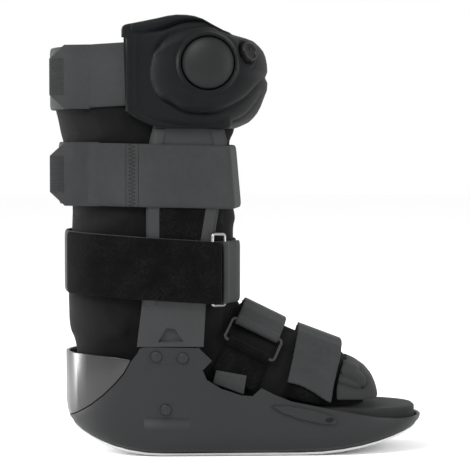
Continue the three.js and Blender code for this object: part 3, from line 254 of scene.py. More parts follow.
def gridded(name, columns, rows, place, closed=False):
    """A sheet of quads whose points place(s, t) sets, in millimetres; s and t go from 0 to 1.
    Its UV map keeps s and t."""
    bpy.ops.mesh.primitive_grid_add(x_subdivisions=columns, y_subdivisions=rows, size=2)
    sheet = bpy.context.object
    sheet.name = name
    co = np.empty(len(sheet.data.vertices) * 3)
    sheet.data.vertices.foreach_get("co", co)
    st = (co.reshape(-1, 3)[:, :2] + 1) / 2
    points = place(st[:, 0], st[:, 1]) * MM
    sheet.data.vertices.foreach_set("co", points.ravel())
    if closed:
        edit(sheet, ("remove_doubles", dict(threshold=1e-6)))
    return sheet


def plate(name, outline, thickness):
    """A flat plate of that outline in X and Z, thick from Y 0 towards -Y, in millimetres."""
    bpy.ops.mesh.primitive_circle_add(vertices=len(outline), radius=1, fill_type="NGON")
    piece = bpy.context.object
    piece.name = name
    for vertex, (x, z) in zip(piece.data.vertices, outline):
        vertex.co = (x * MM, 0, z * MM)
    edit(piece, ("extrude_region_move",
                 dict(TRANSFORM_OT_translate=dict(value=(0, -thickness * MM, 0)))))
    face_out(piece)
    return piece


# outlines in plan, in millimetres
def smoothstep(low, high, x):
    t = np.clip((x - low) / (high - low), 0, 1)
    return t * t * (3 - 2 * t)


LEG_ROWS = np.array([
    (36.8, -119.9, -8.9, 43.5), (50.0, -126.4, -5.6, 48.7), (69.6, -129.3, -2.3, 50.0),
    (88.1, -131.0, -2.3, 50.3), (96.9, -134.3, -2.1, 51.3), (107.2, -136.4, -1.5, 56.4),
    (124.8, -137.0, -1.0, 57.3), (196.6, -133.0, -1.7, 57.3), (253.2, -140.9, -5.0, 57.3),
    (281.6, -148.6, -5.0, 57.3), (330.0, -148.2, -5.0, 57.3),
])
STRUT_ROWS = np.array([
    (88.3, -78.0, -25.0), (121.9, -74.0, -23.1), (171.8, -70.5, -17.0), (196.3, -70.5, -13.0),
    (251.3, -67.9, -6.2), (261.4, -65.3, -8.8), (283.9, -60.5, -14.4), (292.0, -56.8, -18.6),
])
STRUT_FACE = 62.0
RIM_FACE = 63.5
RIM_SETBACK = 2.0
LEG_AXIS = -67.0


def leg_ring(z, steps=96):
    rear, nose, half = (np.interp(z, LEG_ROWS[:, 0], LEG_ROWS[:, k]) for k in (1, 2, 3))
    turn = np.arange(steps) / steps * 2 * math.pi
    c, s = np.cos(turn), np.sin(turn)
    power = 2 / np.where(c > 0, 3.3, 2.5)
    x = (rear + nose) / 2 + (nose - rear) / 2 * np.sign(c) * np.abs(c) ** power
    y = half * np.sign(s) * np.abs(s) ** power
    return np.stack([x, y], 1)


def round_what(low, high):
    """Points in plan that a band between two heights goes round."""
    heights = np.linspace(low, high, 4)
    points = [leg_ring(z) for z in heights]
    for z in heights[heights < STRUT_ROWS[-1, 0]]:
        rear, front = (np.interp(z, STRUT_ROWS[:, 0], STRUT_ROWS[:, k]) for k in (1, 2))
        for side in (-1, 1):
            points.append(np.array([
                (rear, side * STRUT_FACE), (front, side * STRUT_FACE),
                (rear + RIM_SETBACK, side * RIM_FACE), (front - RIM_SETBACK, side * RIM_FACE),
            ]))
    return np.concatenate(points)


def hull(points):
    ordered = sorted(map(tuple, np.round(points, 5)))
    halves = []
    for line in (ordered, ordered[::-1]):
        edge = []
        for p in line:
            while len(edge) > 1 and (
                (edge[-1][0] - edge[-2][0]) * (p[1] - edge[-2][1])
                - (edge[-1][1] - edge[-2][1]) * (p[0] - edge[-2][0])
            ) <= 0:
                edge.pop()
            edge.append(p)
        halves += edge[:-1]
    return np.array(halves)


class Path:
    """A line in plan with its length, read by distance along it."""

    def __init__(self, points, closed):
        self.closed = closed
        self.points = np.concatenate([points, points[:1]]) if closed else points
        steps = np.linalg.norm(np.diff(self.points, axis=0), axis=1)
        self.lengths = np.concatenate([[0], np.cumsum(steps)])
        self.length = self.lengths[-1]

    def at(self, along):
        along = along % self.length if self.closed else np.clip(along, 0, self.length)
        return np.stack([np.interp(along, self.lengths, self.points[:, k]) for k in (0, 1)], 1)

    def outward(self, along, reach=3.0):
        ahead = self.at(along + reach) - self.at(along - reach)
        normal = np.stack([ahead[:, 1], -ahead[:, 0]], 1)
        return normal / np.linalg.norm(normal, axis=1, keepdims=True)

    def nearest(self, x, y):
        return self.lengths[np.argmin(np.hypot(self.points[:, 0] - x, self.points[:, 1] - y))]


def wrapped(points, distance, spacing=1.0, soften=4):
    """Closed path drawn tight round points at a distance, from the back round the near side."""
    turn = np.arange(64) / 64 * 2 * math.pi
    ring = np.stack([np.cos(turn), np.sin(turn)], 1) * distance
    tight = hull((points[:, None, :] + ring[None]).reshape(-1, 2))
    rough = Path(tight, True)
    count = int(rough.length / spacing)
    even = rough.at(np.arange(count) / count * rough.length)
    for _ in range(soften):
        even = (np.roll(even, 1, 0) + 2 * even + np.roll(even, -1, 0)) / 4
    start = np.argmin(np.where(np.abs(even[:, 1]) < 2, even[:, 0], 1e9))
    even = np.roll(even, -start, 0)
    if even[5, 1] > even[0, 1]:
        even = np.roll(even[::-1], 1, 0)
    return Path(even, True)


# materials
FLOAT, COLOUR, VECTOR = "NodeSocketFloat", "NodeSocketColor", "NodeSocketVector"
FULL_TURN = 6.2832
# hard looks: name, tone, cool, roughness, specular, metallic, grain, depth, drift
HARD_LOOKS = (
    ("shell_plastic", 0.0115, 0.0012, 0.42, 0.2, 0.0, 1100.0, 0.12, 0.08),
    ("upright_plastic", 0.0175, 0.0014, 0.4, 0.22, 0.0, 1100.0, 0.12, 0.08),
    ("cup_plastic", 0.011, 0.0, 0.24, 0.5, 0.0, 900.0, 0.05, 0.06),
    ("tread_rubber", 0.42, 0.0, 0.7, 0.5, 0.0, 700.0, 0.3, 0.12),
    ("bulb_rubber", 0.0036, 0.0007, 0.5, 0.22, 0.0, 1500.0, 0.06, 0.05),
    ("dial_plastic", 0.0064, 0.0, 0.4, 0.2, 0.0, 1500.0, 0.06, 0.05),
    ("dark_thread", 0.004, 0.0, 0.7, 0.1, 0.0, 2500.0, 0.1, 0.1),
    ("thread_nylon", 0.03, 0.0, 0.6, 0.2, 0.0, 2500.0, 0.1, 0.1),
    ("dark_steel", 0.04, 0.0, 0.35, 0.5, 1.0, 1800.0, 0.04, 0.1),
    ("wire_steel", 0.28, 0.0, 0.28, 0.5, 1.0, 1800.0, 0.04, 0.1),
)
# brushed looks: name, tone, cool, fleck, its cool, scale, depth, amount, roughness, specular, sheen
PILE_LOOKS = (
    ("board_cover", 0.012, 0.001, 0.023, 0.0012, 900.0, 0.3, 0.6, 0.85, 0.12, 0.04),
    ("hood_cloth", 0.014, 0.001, 0.024, 0.0012, 1300.0, 0.25, 0.5, 0.8, 0.15, 0.04),
    ("loop_cloth", 0.0014, 0.0, 0.009, 0.0, 650.0, 0.9, 0.55, 0.95, 0.05, 0.015),
    ("liner_cloth", 0.003, 0.0, 0.006, 0.0, 1400.0, 0.25, 0.5, 0.9, 0.08, 0.02),
    ("cover_cloth", 0.0034, 0.0008, 0.0065, 0.001, 1500.0, 0.2, 0.4, 0.6, 0.07, 0.015),
)


def plain(name, colour, roughness):
    mat = bpy.data.materials.new(name)
    mat.use_nodes = True
    shader = mat.node_tree.nodes["Principled BSDF"]
    shader.inputs["Base Color"].default_value = (*colour, 1)
    shader.inputs["Roughness"].default_value = roughness
    return mat


def grey(level, cool):
    return (level, level + cool / 2, level + cool, 1)


def new_group(name, inputs, outputs):
    """A shader node group and what it is given; inputs and outputs are label to kind."""
    group = bpy.data.node_groups.new(name, "ShaderNodeTree")
    for way, sockets in (("INPUT", inputs), ("OUTPUT", outputs)):
        for label, kind in sockets.items():
            group.interface.new_socket(label, in_out=way, socket_type=kind)
    return group, group.nodes.new("NodeGroupInput").outputs


def ended(group, **results):
    end = group.nodes.new("NodeGroupOutput")
    for label, source in results.items():
        group.links.new(source, end.inputs[label])
    return group


def step(group, kind, inputs, output=0, **settings):
    """One output of a new node, whose inputs are numbers or sockets."""
    made = group.nodes.new(kind)
    for key, value in settings.items():
        setattr(made, key, value)
    for key, source in inputs.items():
        if isinstance(source, bpy.types.NodeSocket):
            group.links.new(source, made.inputs[key])
        else:
            made.inputs[key].default_value = source
    return made.outputs[output]


def maths(group, operation, first, second=0.0):
    return step(group, "ShaderNodeMath", {0: first, 1: second}, operation=operation)


def ranged(group, value, low, high, new_low=0.0, new_high=1.0):
    return step(group, "ShaderNodeMapRange", {0: value, 1: low, 2: high, 3: new_low, 4: new_high})


def speckle(group, where, scale, detail, distortion=0.0):
    return step(group, "ShaderNodeTexNoise", {
        "Vector": where, "Scale": scale, "Detail": detail, "Distortion": distortion}, "Fac")


def blend(group, share, one, other):
    return step(group, "ShaderNodeMix", {0: share, 6: one, 7: other}, 2, data_type="RGBA")


def bumped(group, height, strength, distance):
    return step(group, "ShaderNodeBump", {
        "Height": height, "Strength": strength, "Distance": distance}, "Normal")


def make_grain():
    """Fine moulded grain with slow colour drift, on Object coordinates."""
    group, given = new_group(
        "moulded_grain",
        dict(Colour=COLOUR, Grain=FLOAT, Depth=FLOAT, Drift=FLOAT, Roughness=FLOAT),
        dict(Colour=COLOUR, Roughness=FLOAT, Normal=VECTOR))
    where = step(group, "ShaderNodeTexCoord", {}, "Object")
    fine = speckle(group, where, given["Grain"], 3.0)
    slow = ranged(group, speckle(group, where, 22.0, 4.0), 0.3, 0.7, -1.0, 1.0)
    factor = maths(group, "ADD", maths(group, "MULTIPLY", slow, given["Drift"]), 1.0)
    tint = step(group, "ShaderNodeVectorMath", {0: given["Colour"], "Scale": factor}, operation="SCALE")
    rough = maths(group, "ADD", given["Roughness"], maths(group, "MULTIPLY", fine, 0.14))
    return ended(group, Colour=tint, Roughness=rough,
                 Normal=bumped(group, fine, given["Depth"], 0.0004))


def make_pile():
    """Brushed pile: soft specks and short fibres, on Object coordinates."""
    group, given = new_group(
        "brushed_pile",
        dict(Colour=COLOUR, Fleck=COLOUR, Scale=FLOAT, Depth=FLOAT, Amount=FLOAT),
        dict(Colour=COLOUR, Normal=VECTOR))
    where = step(group, "ShaderNodeTexCoord", {}, "Object")
    fibre = speckle(group, where, given["Scale"], 4.0, 1.5)
    curl = step(group, "ShaderNodeTexVoronoi", {"Vector": where, "Scale": given["Scale"]}, "Distance")
    both = maths(group, "MULTIPLY", fibre, curl)
    shade = ranged(group, speckle(group, where, 60.0, 3.0), 0.35, 0.7)
    mask = maths(group, "MULTIPLY", ranged(group, both, 0.12, 0.42), shade)
    level = maths(group, "MULTIPLY", mask, given["Amount"])
    return ended(group, Colour=blend(group, level, given["Colour"], given["Fleck"]),
                 Normal=bumped(group, both, given["Depth"], 0.0006))


def make_weave():
    """Plain weave that follows the piece's own UV map, in metres."""
    group, given = new_group(
        "strap_weave", dict(Colour=COLOUR, Thread=COLOUR, Pitch=FLOAT, Depth=FLOAT),
        dict(Colour=COLOUR, Normal=VECTOR))
    where = step(group, "ShaderNodeTexCoord", {}, "Object")
    waves = []
    for axis in (0, 1):
        across = step(group, "ShaderNodeSeparateXYZ",
                      {0: step(group, "ShaderNodeTexCoord", {}, "UV")}, axis)
        turns = maths(group, "MULTIPLY", across, given["Pitch"])
        waves.append(maths(group, "SINE", maths(group, "MULTIPLY", turns, FULL_TURN)))
    height = ranged(group, maths(group, "MULTIPLY", *waves), -1.0, 1.0)
    lift = maths(group, "MULTIPLY", height, speckle(group, where, 260.0, 5.0))
    both = maths(group, "ADD", lift, speckle(group, where, 18.0, 3.0))
    spread = ranged(group, both, 0.35, 1.15)
    return ended(group, Colour=blend(group, spread, given["Colour"], given["Thread"]),
                 Normal=bumped(group, lift, given["Depth"], 0.0004))


def dressed(name, group, roughness, values, specular, sheen=0.0, metallic=0.0):
    """A material that takes its colour, normal and, where given, roughness from a node group."""
    mat = bpy.data.materials.new(name)
    mat.use_nodes = True
    tree = mat.node_tree
    shader = tree.nodes["Principled BSDF"]
    effect = tree.nodes.new("ShaderNodeGroup")
    effect.node_tree = group
    for label, value in values.items():
        effect.inputs[label].default_value = value
    for label, socket in (("Colour", "Base Color"), ("Normal", "Normal")):
        tree.links.new(effect.outputs[label], shader.inputs[socket])
    if "Roughness" in effect.outputs:
        effect.inputs["Roughness"].default_value = roughness
        tree.links.new(effect.outputs["Roughness"], shader.inputs["Roughness"])
    else:
        shader.inputs["Roughness"].default_value = roughness
    shader.inputs["Metallic"].default_value = metallic
    shader.inputs["Specular IOR Level"].default_value = specular
    if sheen:
        shader.inputs["Sheen Weight"].default_value = sheen
        shader.inputs["Sheen Roughness"].default_value = 0.5
    return mat


def make_looks():
    grain, pile, weave = make_grain(), make_pile(), make_weave()
    found = {}
    for name, tone, cool, roughness, specular, metallic, size, depth, drift in HARD_LOOKS:
        found[name] = dressed(name, grain, roughness, {
            "Colour": grey(tone, cool), "Grain": size, "Depth": depth, "Drift": drift,
        }, specular, metallic=metallic)
    for (name, tone, cool, fleck, fleck_cool, scale, depth, amount, roughness, specular,
         sheen) in PILE_LOOKS:
        found[name] = dressed(name, pile, roughness, {
            "Colour": grey(tone, cool), "Fleck": grey(fleck, fleck_cool), "Scale": scale,
            "Depth": depth, "Amount": amount,
        }, specular, sheen)
    found["strap_cloth"] = dressed("strap_cloth", weave, 0.72, {
        "Colour": grey(0.016, 0.0012), "Thread": grey(0.029, 0.0015), "Pitch": 1250.0, "Depth": 0.3,
    }, 0.1, 0.03)
    return found


# straps
def wide_profile(t, width, edge=2.2, drop=0.9, stitch_in=3.6, stitch=0.25):
    """How far a strap's face stands below its middle: rolled edges and a line of stitching."""
    out = np.minimum(t, 1 - t) * width
    roll = drop * (1 - np.clip(out / edge, 0, 1)) ** 2
    return roll + stitch * np.exp(-((out - stitch_in) / 0.7) ** 2)


BAND_ROWS = 18
BAND_STEP = 2.0
STRAP_OUTER = 2.3
STRAP_THICK = 2.1


def banded(name, path, low, high, slope, start=0, end=None, outer=STRAP_OUTER, thick=STRAP_THICK,
           lift=None):
    """A strap round a path between two distances along it, its face at a distance outside."""
    loop = end is None
    length = path.length if loop else end - start
    width = high - low

    def place(s, t):
        along = start + s * length
        spot = path.at(along)
        normal = path.outward(along)
        stand = outer - wide_profile(t, width)
        if lift is not None:
            stand = stand + lift(along, t, spot)
        z = low + t * width + slope * (spot[:, 0] - LEG_AXIS)
        flat = spot + normal * stand[:, None]
        return np.stack([flat[:, 0], flat[:, 1], z], 1)

    strap = gridded(name, int(length / BAND_STEP), BAND_ROWS, place, closed=loop)
    for layer in strap.data.uv_layers:
        uv = np.empty(len(layer.data) * 2)
        layer.data.foreach_get("uv", uv)
        layer.data.foreach_set("uv", (uv.reshape(-1, 2) * (length * MM, width * MM)).ravel())
    if faces_inwards(strap, path):
        edit(strap, ("flip_normals", {}))
    modify(strap, "SOLIDIFY", thickness=thick * MM, offset=-1)
    modify(strap, "SUBSURF", levels=1, render_levels=1)
    soft_shade(strap)
    return strap


def faces_inwards(piece, path):
    face = piece.data.polygons[len(piece.data.polygons) // 2]
    centre = np.array(face.center) / MM
    index = path.nearest(centre[0], centre[1])
    return float(np.dot(path.outward(np.array([index]))[0], np.array(face.normal)[:2])) < 0


def stitched(name, spots, directions, length, radius):
    """One mesh of short threads, each lying at its spot along its direction."""
    bpy.ops.mesh.primitive_uv_sphere_add(segments=6, ring_count=4, radius=1)
    model = bpy.context.object
    base = places(model) * MM
    faces = [tuple(p.vertices) for p in model.data.polygons]
    bpy.data.objects.remove(model)
    points, polygons = [], []
    for spot, direction in zip(spots, directions):
        turn = turn_to(direction)
        shaped = base * (radius, radius, length / 2)
        offset = len(points) * len(base)
        points.append(shaped @ np.array(turn).T + np.array(spot))
        polygons += [tuple(i + offset for i in face) for face in faces]
    thread = meshed(name, np.concatenate(points), polygons)
    soft_shade(thread)
    return thread


TAB_TURN = math.radians(251.25)
TAB_END = -148.6
TAB_THICK = 2.6
TAB_SINK = 2.5
RIB_RADIUS = 0.62


def pull_tab(name, path, outer, centre, width=51.0, grip=13.0, chamfer=11.0, ribs=17):
    """Stiff plate that leaves a strap at its tangent, ribbed across its free end."""
    along = np.arange(0, path.length / 2, 0.5)
    normals = path.outward(along)
    facing = np.arctan2(normals[:, 1], normals[:, 0]) % (2 * math.pi)
    spot = along[np.argmin(np.abs(facing - TAB_TURN))]
    start = path.at(np.array([spot]))[0] + path.outward(np.array([spot]))[0] * outer
    lean = TAB_TURN - math.radians(270)
    length = (start[0] - TAB_END) / math.cos(lean)
    half = width / 2
    outline = [
        (1, -half), (length - grip, -half), (length, -half + chamfer),
        (length, half - chamfer), (length - grip, half), (1, half),
    ]
    body = plate(name, outline, TAB_THICK)
    modify(body, "BEVEL", width=0.4 * MM, segments=3, limit_method="ANGLE")
    pieces = [body]
    span = width - 2 * chamfer + 1
    for k in range(ribs):
        z = -span / 2 + (k + 0.5) * span / ribs
        where = ((length - grip / 2) * MM, -TAB_THICK * MM, z * MM)
        bpy.ops.mesh.primitive_cylinder_add(vertices=8, radius=RIB_RADIUS * MM, depth=(grip - 1) * MM,
                                            location=where, rotation=(0, math.pi / 2, 0))
        rib = bpy.context.object
        modify(rib, "BEVEL", width=0.3 * MM, segments=2, limit_method="ANGLE")
        settle(rib)
        pieces.append(rib)
    tab = join(name, *pieces)
    turn = Matrix.Rotation(lean, 4, "Z") @ Matrix.Scale(-1, 4, (1, 0, 0))
    tab.data.transform(Matrix.Translation((start[0] * MM, start[1] * MM, centre * MM))
                       @ turn @ Matrix.Translation((0, TAB_SINK * MM, 0)))
    tab.data.flip_normals()
    smooth_shade(tab, 40)
    return tab

# pump cover
NEAR_SCALE = 0.786
PHOTO_X = 235
PHOTO_Z = 130
PHOTO_LEVEL = 260.6


def from_photo(*points, scale=NEAR_SCALE):
    """Places of the photograph's picture points in X and Z, on a plane near the camera."""
    return np.array([((x - PHOTO_X) * scale, PHOTO_LEVEL - (y - PHOTO_Z) * scale) for x, y in points])


def off_line(spots, line):
    """Distance of each spot from a line through points."""
    best = np.full(len(spots), 1e9)
    for a, b in zip(line[:-1], line[1:]):
        span = b - a
        share = np.clip(((spots - a) @ span) / (span @ span), 0, 1)
        best = np.minimum(best, np.linalg.norm(spots - a - share[:, None] * span, axis=1))
    return best


def curved(points, steps=8):
    """A smooth line through points."""
    padded = np.concatenate([[2 * points[0] - points[1]], points, [2 * points[-1] - points[-2]]])
    out = []
    for k in range(1, len(padded) - 2):
        p0, p1, p2, p3 = padded[k - 1:k + 3]
        for u in np.arange(steps) / steps:
            out.append(0.5 * (2 * p1 + (p2 - p0) * u + (2 * p0 - 5 * p1 + 4 * p2 - p3) * u ** 2
                              + (3 * p1 - p0 - 3 * p2 + p3) * u ** 3))
    return np.array(out + [points[-1]])


def inside(spots, outline):
    hit = np.zeros(len(spots), bool)
    for a, b in zip(outline, np.roll(outline, -1, 0)):
        crosses = (a[1] > spots[:, 1]) != (b[1] > spots[:, 1])
        with np.errstate(divide="ignore", invalid="ignore"):
            at = (b[0] - a[0]) * (spots[:, 1] - a[1]) / (b[1] - a[1]) + a[0]
        hit ^= crosses & (spots[:, 0] < at)
    return hit


def groove(distance, depth, width):
    return depth * np.exp(-((distance / width) ** 2))


COVER_REAR = -90.0
EVEN_STAND = 15.0
COVER_EDGE_TOP = np.array([
    (-90, 343.7), (-76, 346.2), (-62, 348.9), (-53, 351.0), (-46, 351.9), (-38, 351.7), (-32, 350.8),
    (-25.5, 348.6), (-17.3, 344.0), (-10, 339.8), (-3, 337.0), (0, 335.5),
])
COVER_EDGE_LOW = np.array([
    (-90, 277.0), (-85.7, 275.0), (-78.6, 270.0), (-72, 266.6), (-64.5, 263.7), (-50, 261.9),
    (0, 261.5),
])
FRONT_SWELL = np.array([
    (0.0, 3.0), (0.03, 7.0), (0.07, 13.0), (0.12, 17.0), (0.17, 20.0), (0.24, 22.8), (0.31, 24.8),
    (0.42, 28.0), (0.50, 28.4), (0.555, 26.4), (0.62, 28.3), (0.70, 28.0), (0.78, 26.8),
    (0.84, 25.0), (0.89, 22.0), (0.94, 18.0), (0.975, 11.0), (1.0, 4.0),
])
BULB_SEAT = np.array([-21.456, -77.236, 313.0])
BULB_AXIS = np.array([0.05989, -0.99820, 0.0])
BULB_RADIUS = 20.5
DIAL_SEAT = np.array([6.3158, -56.3298, 320.0089])
DIAL_AXIS = np.array([0.70142, -0.63156, 0.33035])
DIAL_RADIUS = 7.7
PILLOW_TOP = from_photo((150.9, 58.6), (153.5, 52.5), (158.3, 48.1), (164, 41), (170.9, 35.4),
                        (178, 31.5), (185.6, 29.1), (203.5, 27.6), (221.4, 29.7), (238.2, 36.0))
PILLOW_LOW = from_photo((153, 89.1), (156.5, 94), (161.4, 98.5), (170.9, 102.7), (183.5, 110.1),
                        (201.4, 112.2), (217.2, 111.2), (232.9, 105.9), (247.6, 96.4),
                        (259.2, 82.8), (264, 77.0))
TOP_SEAM = from_photo((128, 32.3), (137.2, 32.8), (148.8, 30.9), (164.6, 28.0), (175, 24.4),
                      (185.6, 21.6), (201.4, 21.2), (210, 24.5), (222, 30.5))
LOW_SEAM = from_photo((131, 109.0), (137.2, 112.2), (154, 119.6), (170.9, 122.7), (185.6, 125.3),
                      (206.6, 126.2), (222.4, 124.8), (235, 121.7), (246, 116), (256, 105), (263, 92))
REAR_SEAMS = (-83.6, -77.4)
CORNER_X = -26.0
PILLOW_NOSE = ((60, 334.0), (60, 303.0))
PILLOW_HEIGHT = 7.8
FIELD_HEIGHT = 8.5
BAND_HEIGHT = 5.0
FLANGE = 3.0
LEAST_STAND = 2.6
# share of the sheet that is the outer face, and the rounding of its edges
OUTER_SHARE = 0.86
EDGE_ROUND = 3.2
END_ROUND = 3.0
# pockets: seat, axis, radius, hollow's radius, the cover's level round it, height of its lip
POCKETS = (
    (BULB_SEAT, BULB_AXIS, BULB_RADIUS + 0.9, BULB_RADIUS + 0.9, 7.8, 0.9),
    (DIAL_SEAT, DIAL_AXIS, DIAL_RADIUS + 0.8, DIAL_RADIUS + 0.7, 3.4, 0.5),
)
POCKET_REACH = 18


def dome_of(share):
    return np.sqrt(np.clip(1 - (1 - np.clip(share, 0, 1)) ** 2, 0, 1))


def cover_path():
    around = np.concatenate([round_what(279.5, 330.5), round_what(261.5, 305.0)])
    full = wrapped(around, 3.2, soften=14).points[:-1]
    return Path(full[full[:, 0] > COVER_REAR + 0.2], False)


def cover_relief(x, z):
    """The near side's pillow, fields, bands and seams, as height over the flat flange."""
    spots = np.stack([x, z], 1)
    top, low = curved(PILLOW_TOP), curved(PILLOW_LOW)
    left = from_photo((149.2, 80), (148.6, 70))
    outline = np.concatenate([top, PILLOW_NOSE, low[::-1], left])
    within = inside(spots, outline)
    from_top = off_line(spots, np.concatenate([top, PILLOW_NOSE[:1]]))
    from_low = off_line(spots, np.concatenate([low, PILLOW_NOSE[1:]]))
    from_left = off_line(spots, np.concatenate([low[:1], left, top[:1]]))
    edge = np.minimum(from_top / 11, np.minimum(from_low / 12, from_left / 34))
    pillow = np.where(within, PILLOW_HEIGHT * dome_of(edge), 0)
    seam_top, seam_low = curved(TOP_SEAM), curved(LOW_SEAM)
    roof = np.interp(x, seam_top[:, 0], seam_top[:, 1])
    ground = np.interp(x, seam_low[:, 0], seam_low[:, 1])
    room = np.minimum(np.minimum(roof - z, z - ground), (x - REAR_SEAMS[1]) * 0.9)
    field = FIELD_HEIGHT * dome_of(room / 16) * smoothstep(-82, -34, x)
    crown = np.interp(x, COVER_EDGE_TOP[:, 0], COVER_EDGE_TOP[:, 1])
    half = np.maximum((crown - roof) / 2, 0.5)
    arch = dome_of(1 - np.abs(z - roof - half) / half)
    band = np.where((z > roof) & (x > REAR_SEAMS[0]), BAND_HEIGHT * arch, 0)
    band = band * (0.55 + 0.45 * smoothstep(-80, -50, x))
    relief = pillow + field + band
    relief -= groove(from_low, 2.6, 2.0) * smoothstep(-66, -50, x)
    relief -= groove(np.where(within, 99, from_top), 1.8, 3.0) * smoothstep(-70, -60, x)
    relief -= groove(off_line(spots, seam_top), 1.5, 1.2)
    relief -= groove(off_line(spots, seam_low), 1.3, 1.1)
    for seam in REAR_SEAMS:
        inside_seams = (z < roof + 2) & (z > ground - 4)
        relief -= np.where(inside_seams, groove(np.abs(x - seam), 1.4, 1.0), 0)
    return relief


def rounded_corner(x, y, normal, stand, reach, half):
    """Trims how far the cover stands out so that its front corner is an ellipse in plan."""
    def outside(share):
        px = x + normal[:, 0] * stand * share - CORNER_X
        py = y + np.abs(normal[:, 1]) * stand * share
        return (px > 0) & ((px / reach) ** 2 + (py / half) ** 2 > 1)

    low, high = np.zeros(len(x)), np.ones(len(x))
    clear = ~outside(high)
    for _ in range(14):
        middle = (low + high) / 2
        beyond = outside(middle)
        high = np.where(beyond, middle, high)
        low = np.where(beyond, low, middle)
    return np.maximum(stand * np.where(clear, 1.0, low), LEAST_STAND)


def make_cover():
    path = cover_path()

    def place(s, t):
        outer = t <= OUTER_SHARE
        v = np.where(outer, t / OUTER_SHARE, (1 - t) / (1 - OUTER_SHARE))
        lobe = 3.4 * (1 - smoothstep(331, 337, 262 + v * 84))
        along = lobe + s * (path.length - 2 * lobe)
        spot = path.at(along)
        normal = path.outward(along, 9.0)
        x, y = spot[:, 0], spot[:, 1]
        low = np.interp(x, COVER_EDGE_LOW[:, 0], COVER_EDGE_LOW[:, 1])
        high = np.interp(x, COVER_EDGE_TOP[:, 0], COVER_EDGE_TOP[:, 1])
        end = np.minimum(along, path.length - along)
        high = high - 3.4 * (1 - dome_of(end / 5.0))
        z = low + v * (high - low)
        turn = np.degrees(np.arctan2(normal[:, 0], np.abs(normal[:, 1])))
        ahead = smoothstep(12, 72, turn)
        near = y < 0
        side = np.where(near, 1.0, 0.55 + 0.45 * ahead)
        swell = np.interp(v, FRONT_SWELL[:, 0], FRONT_SWELL[:, 1])
        reach, half = swell + x.max() - CORNER_X, np.abs(y).max() + 0.5
        even = rounded_corner(x, np.abs(y), normal, EVEN_STAND * (1 - ahead) + swell * ahead,
                              reach, half + EVEN_STAND)
        flat = FLANGE + cover_relief(x + normal[:, 0] * even, z) * side
        stand = flat * (1 - ahead) + swell * ahead
        stand = rounded_corner(x, np.abs(y), normal, stand, reach, half + flat)
        rim = np.minimum(np.minimum(z - low, high - z) / EDGE_ROUND,
                         np.minimum(along - lobe, path.length - lobe - along) / END_ROUND)
        stand = np.where(outer, stand * dome_of(rim + 0.02), 0)
        points = np.stack([x + normal[:, 0] * stand, y + normal[:, 1] * stand, z], 1)
        for seat, axis, radius, _, level, lip in POCKETS:
            offset = points - seat
            height = offset @ axis
            around = np.linalg.norm(offset - height[:, None] * axis, axis=1)
            facing = outer & (np.abs(height) < POCKET_REACH)
            calm = np.where(facing, 1 - smoothstep(radius + 0.5, radius + 4.5, around), 0)
            points = points + axis * (calm * (level - height))[:, None]
            ring = np.where(facing, np.exp(-((around - radius - 1.7) / 1.3) ** 2), 0)
            trough = np.where(facing, np.exp(-((around - radius - 4.2) / 1.2) ** 2), 0)
            points = points + axis * (ring * lip - trough * lip * 0.8)[:, None]
        return points

    cover = gridded("pump_pillow", 270, 110, place)
    edit(cover, ("remove_doubles", dict(threshold=1e-6)), ("select_all", dict(action="SELECT")),
         ("fill_holes", dict(sides=0)))
    face_out(cover)
    for seat, axis, _, radius, *_ in POCKETS:
        hollow(cover, seat, axis, radius)
    modify(cover, "BEVEL", width=0.5 * MM, segments=2, limit_method="ANGLE",
           angle_limit=math.radians(60))
    smooth_shade(cover, 55)
    return cover


def hollow(piece, seat, axis, radius):
    """A round pocket in a piece, from its seat outwards along its axis."""
    bpy.ops.mesh.primitive_cylinder_add(vertices=96, radius=radius * MM, depth=40 * MM)
    tool = bpy.context.object
    turn = turn_to(axis).to_4x4()
    turn.translation = Vector(seat + axis * 20.1) * MM
    tool.data.transform(turn)
    cut_away(piece, tool)


def turned(name, profile, seat, axis, steps=64):
    """A round body from a profile of radius and height on an axis."""
    radii, heights = (np.array(values) for values in zip(*profile))
    turn = turn_to(axis)

    def place(s, t):
        index = t * (len(radii) - 1)
        radius = np.interp(index, np.arange(len(radii)), radii)
        height = np.interp(index, np.arange(len(radii)), heights)
        angle = -s * 2 * math.pi
        local = np.stack([radius * np.cos(angle), radius * np.sin(angle), height], 1)
        return local @ np.array(turn).T + seat

    body = gridded(name, steps, len(radii) - 1, place, closed=True)
    face_out(body)
    return body


def make_bulb():
    profile = [(0, 0.6), (BULB_RADIUS - 0.6, 0.6), (BULB_RADIUS, 1.2), (BULB_RADIUS, 6.0)]
    for k in range(1, 17):
        turn = k / 16 * math.pi / 2
        profile.append((BULB_RADIUS * math.cos(turn) ** 0.86, 6.0 + 8.4 * math.sin(turn)))
    bulb = turned("pump_dome", profile, BULB_SEAT, BULB_AXIS, 72)
    smooth_shade(bulb, 50)
    return bulb


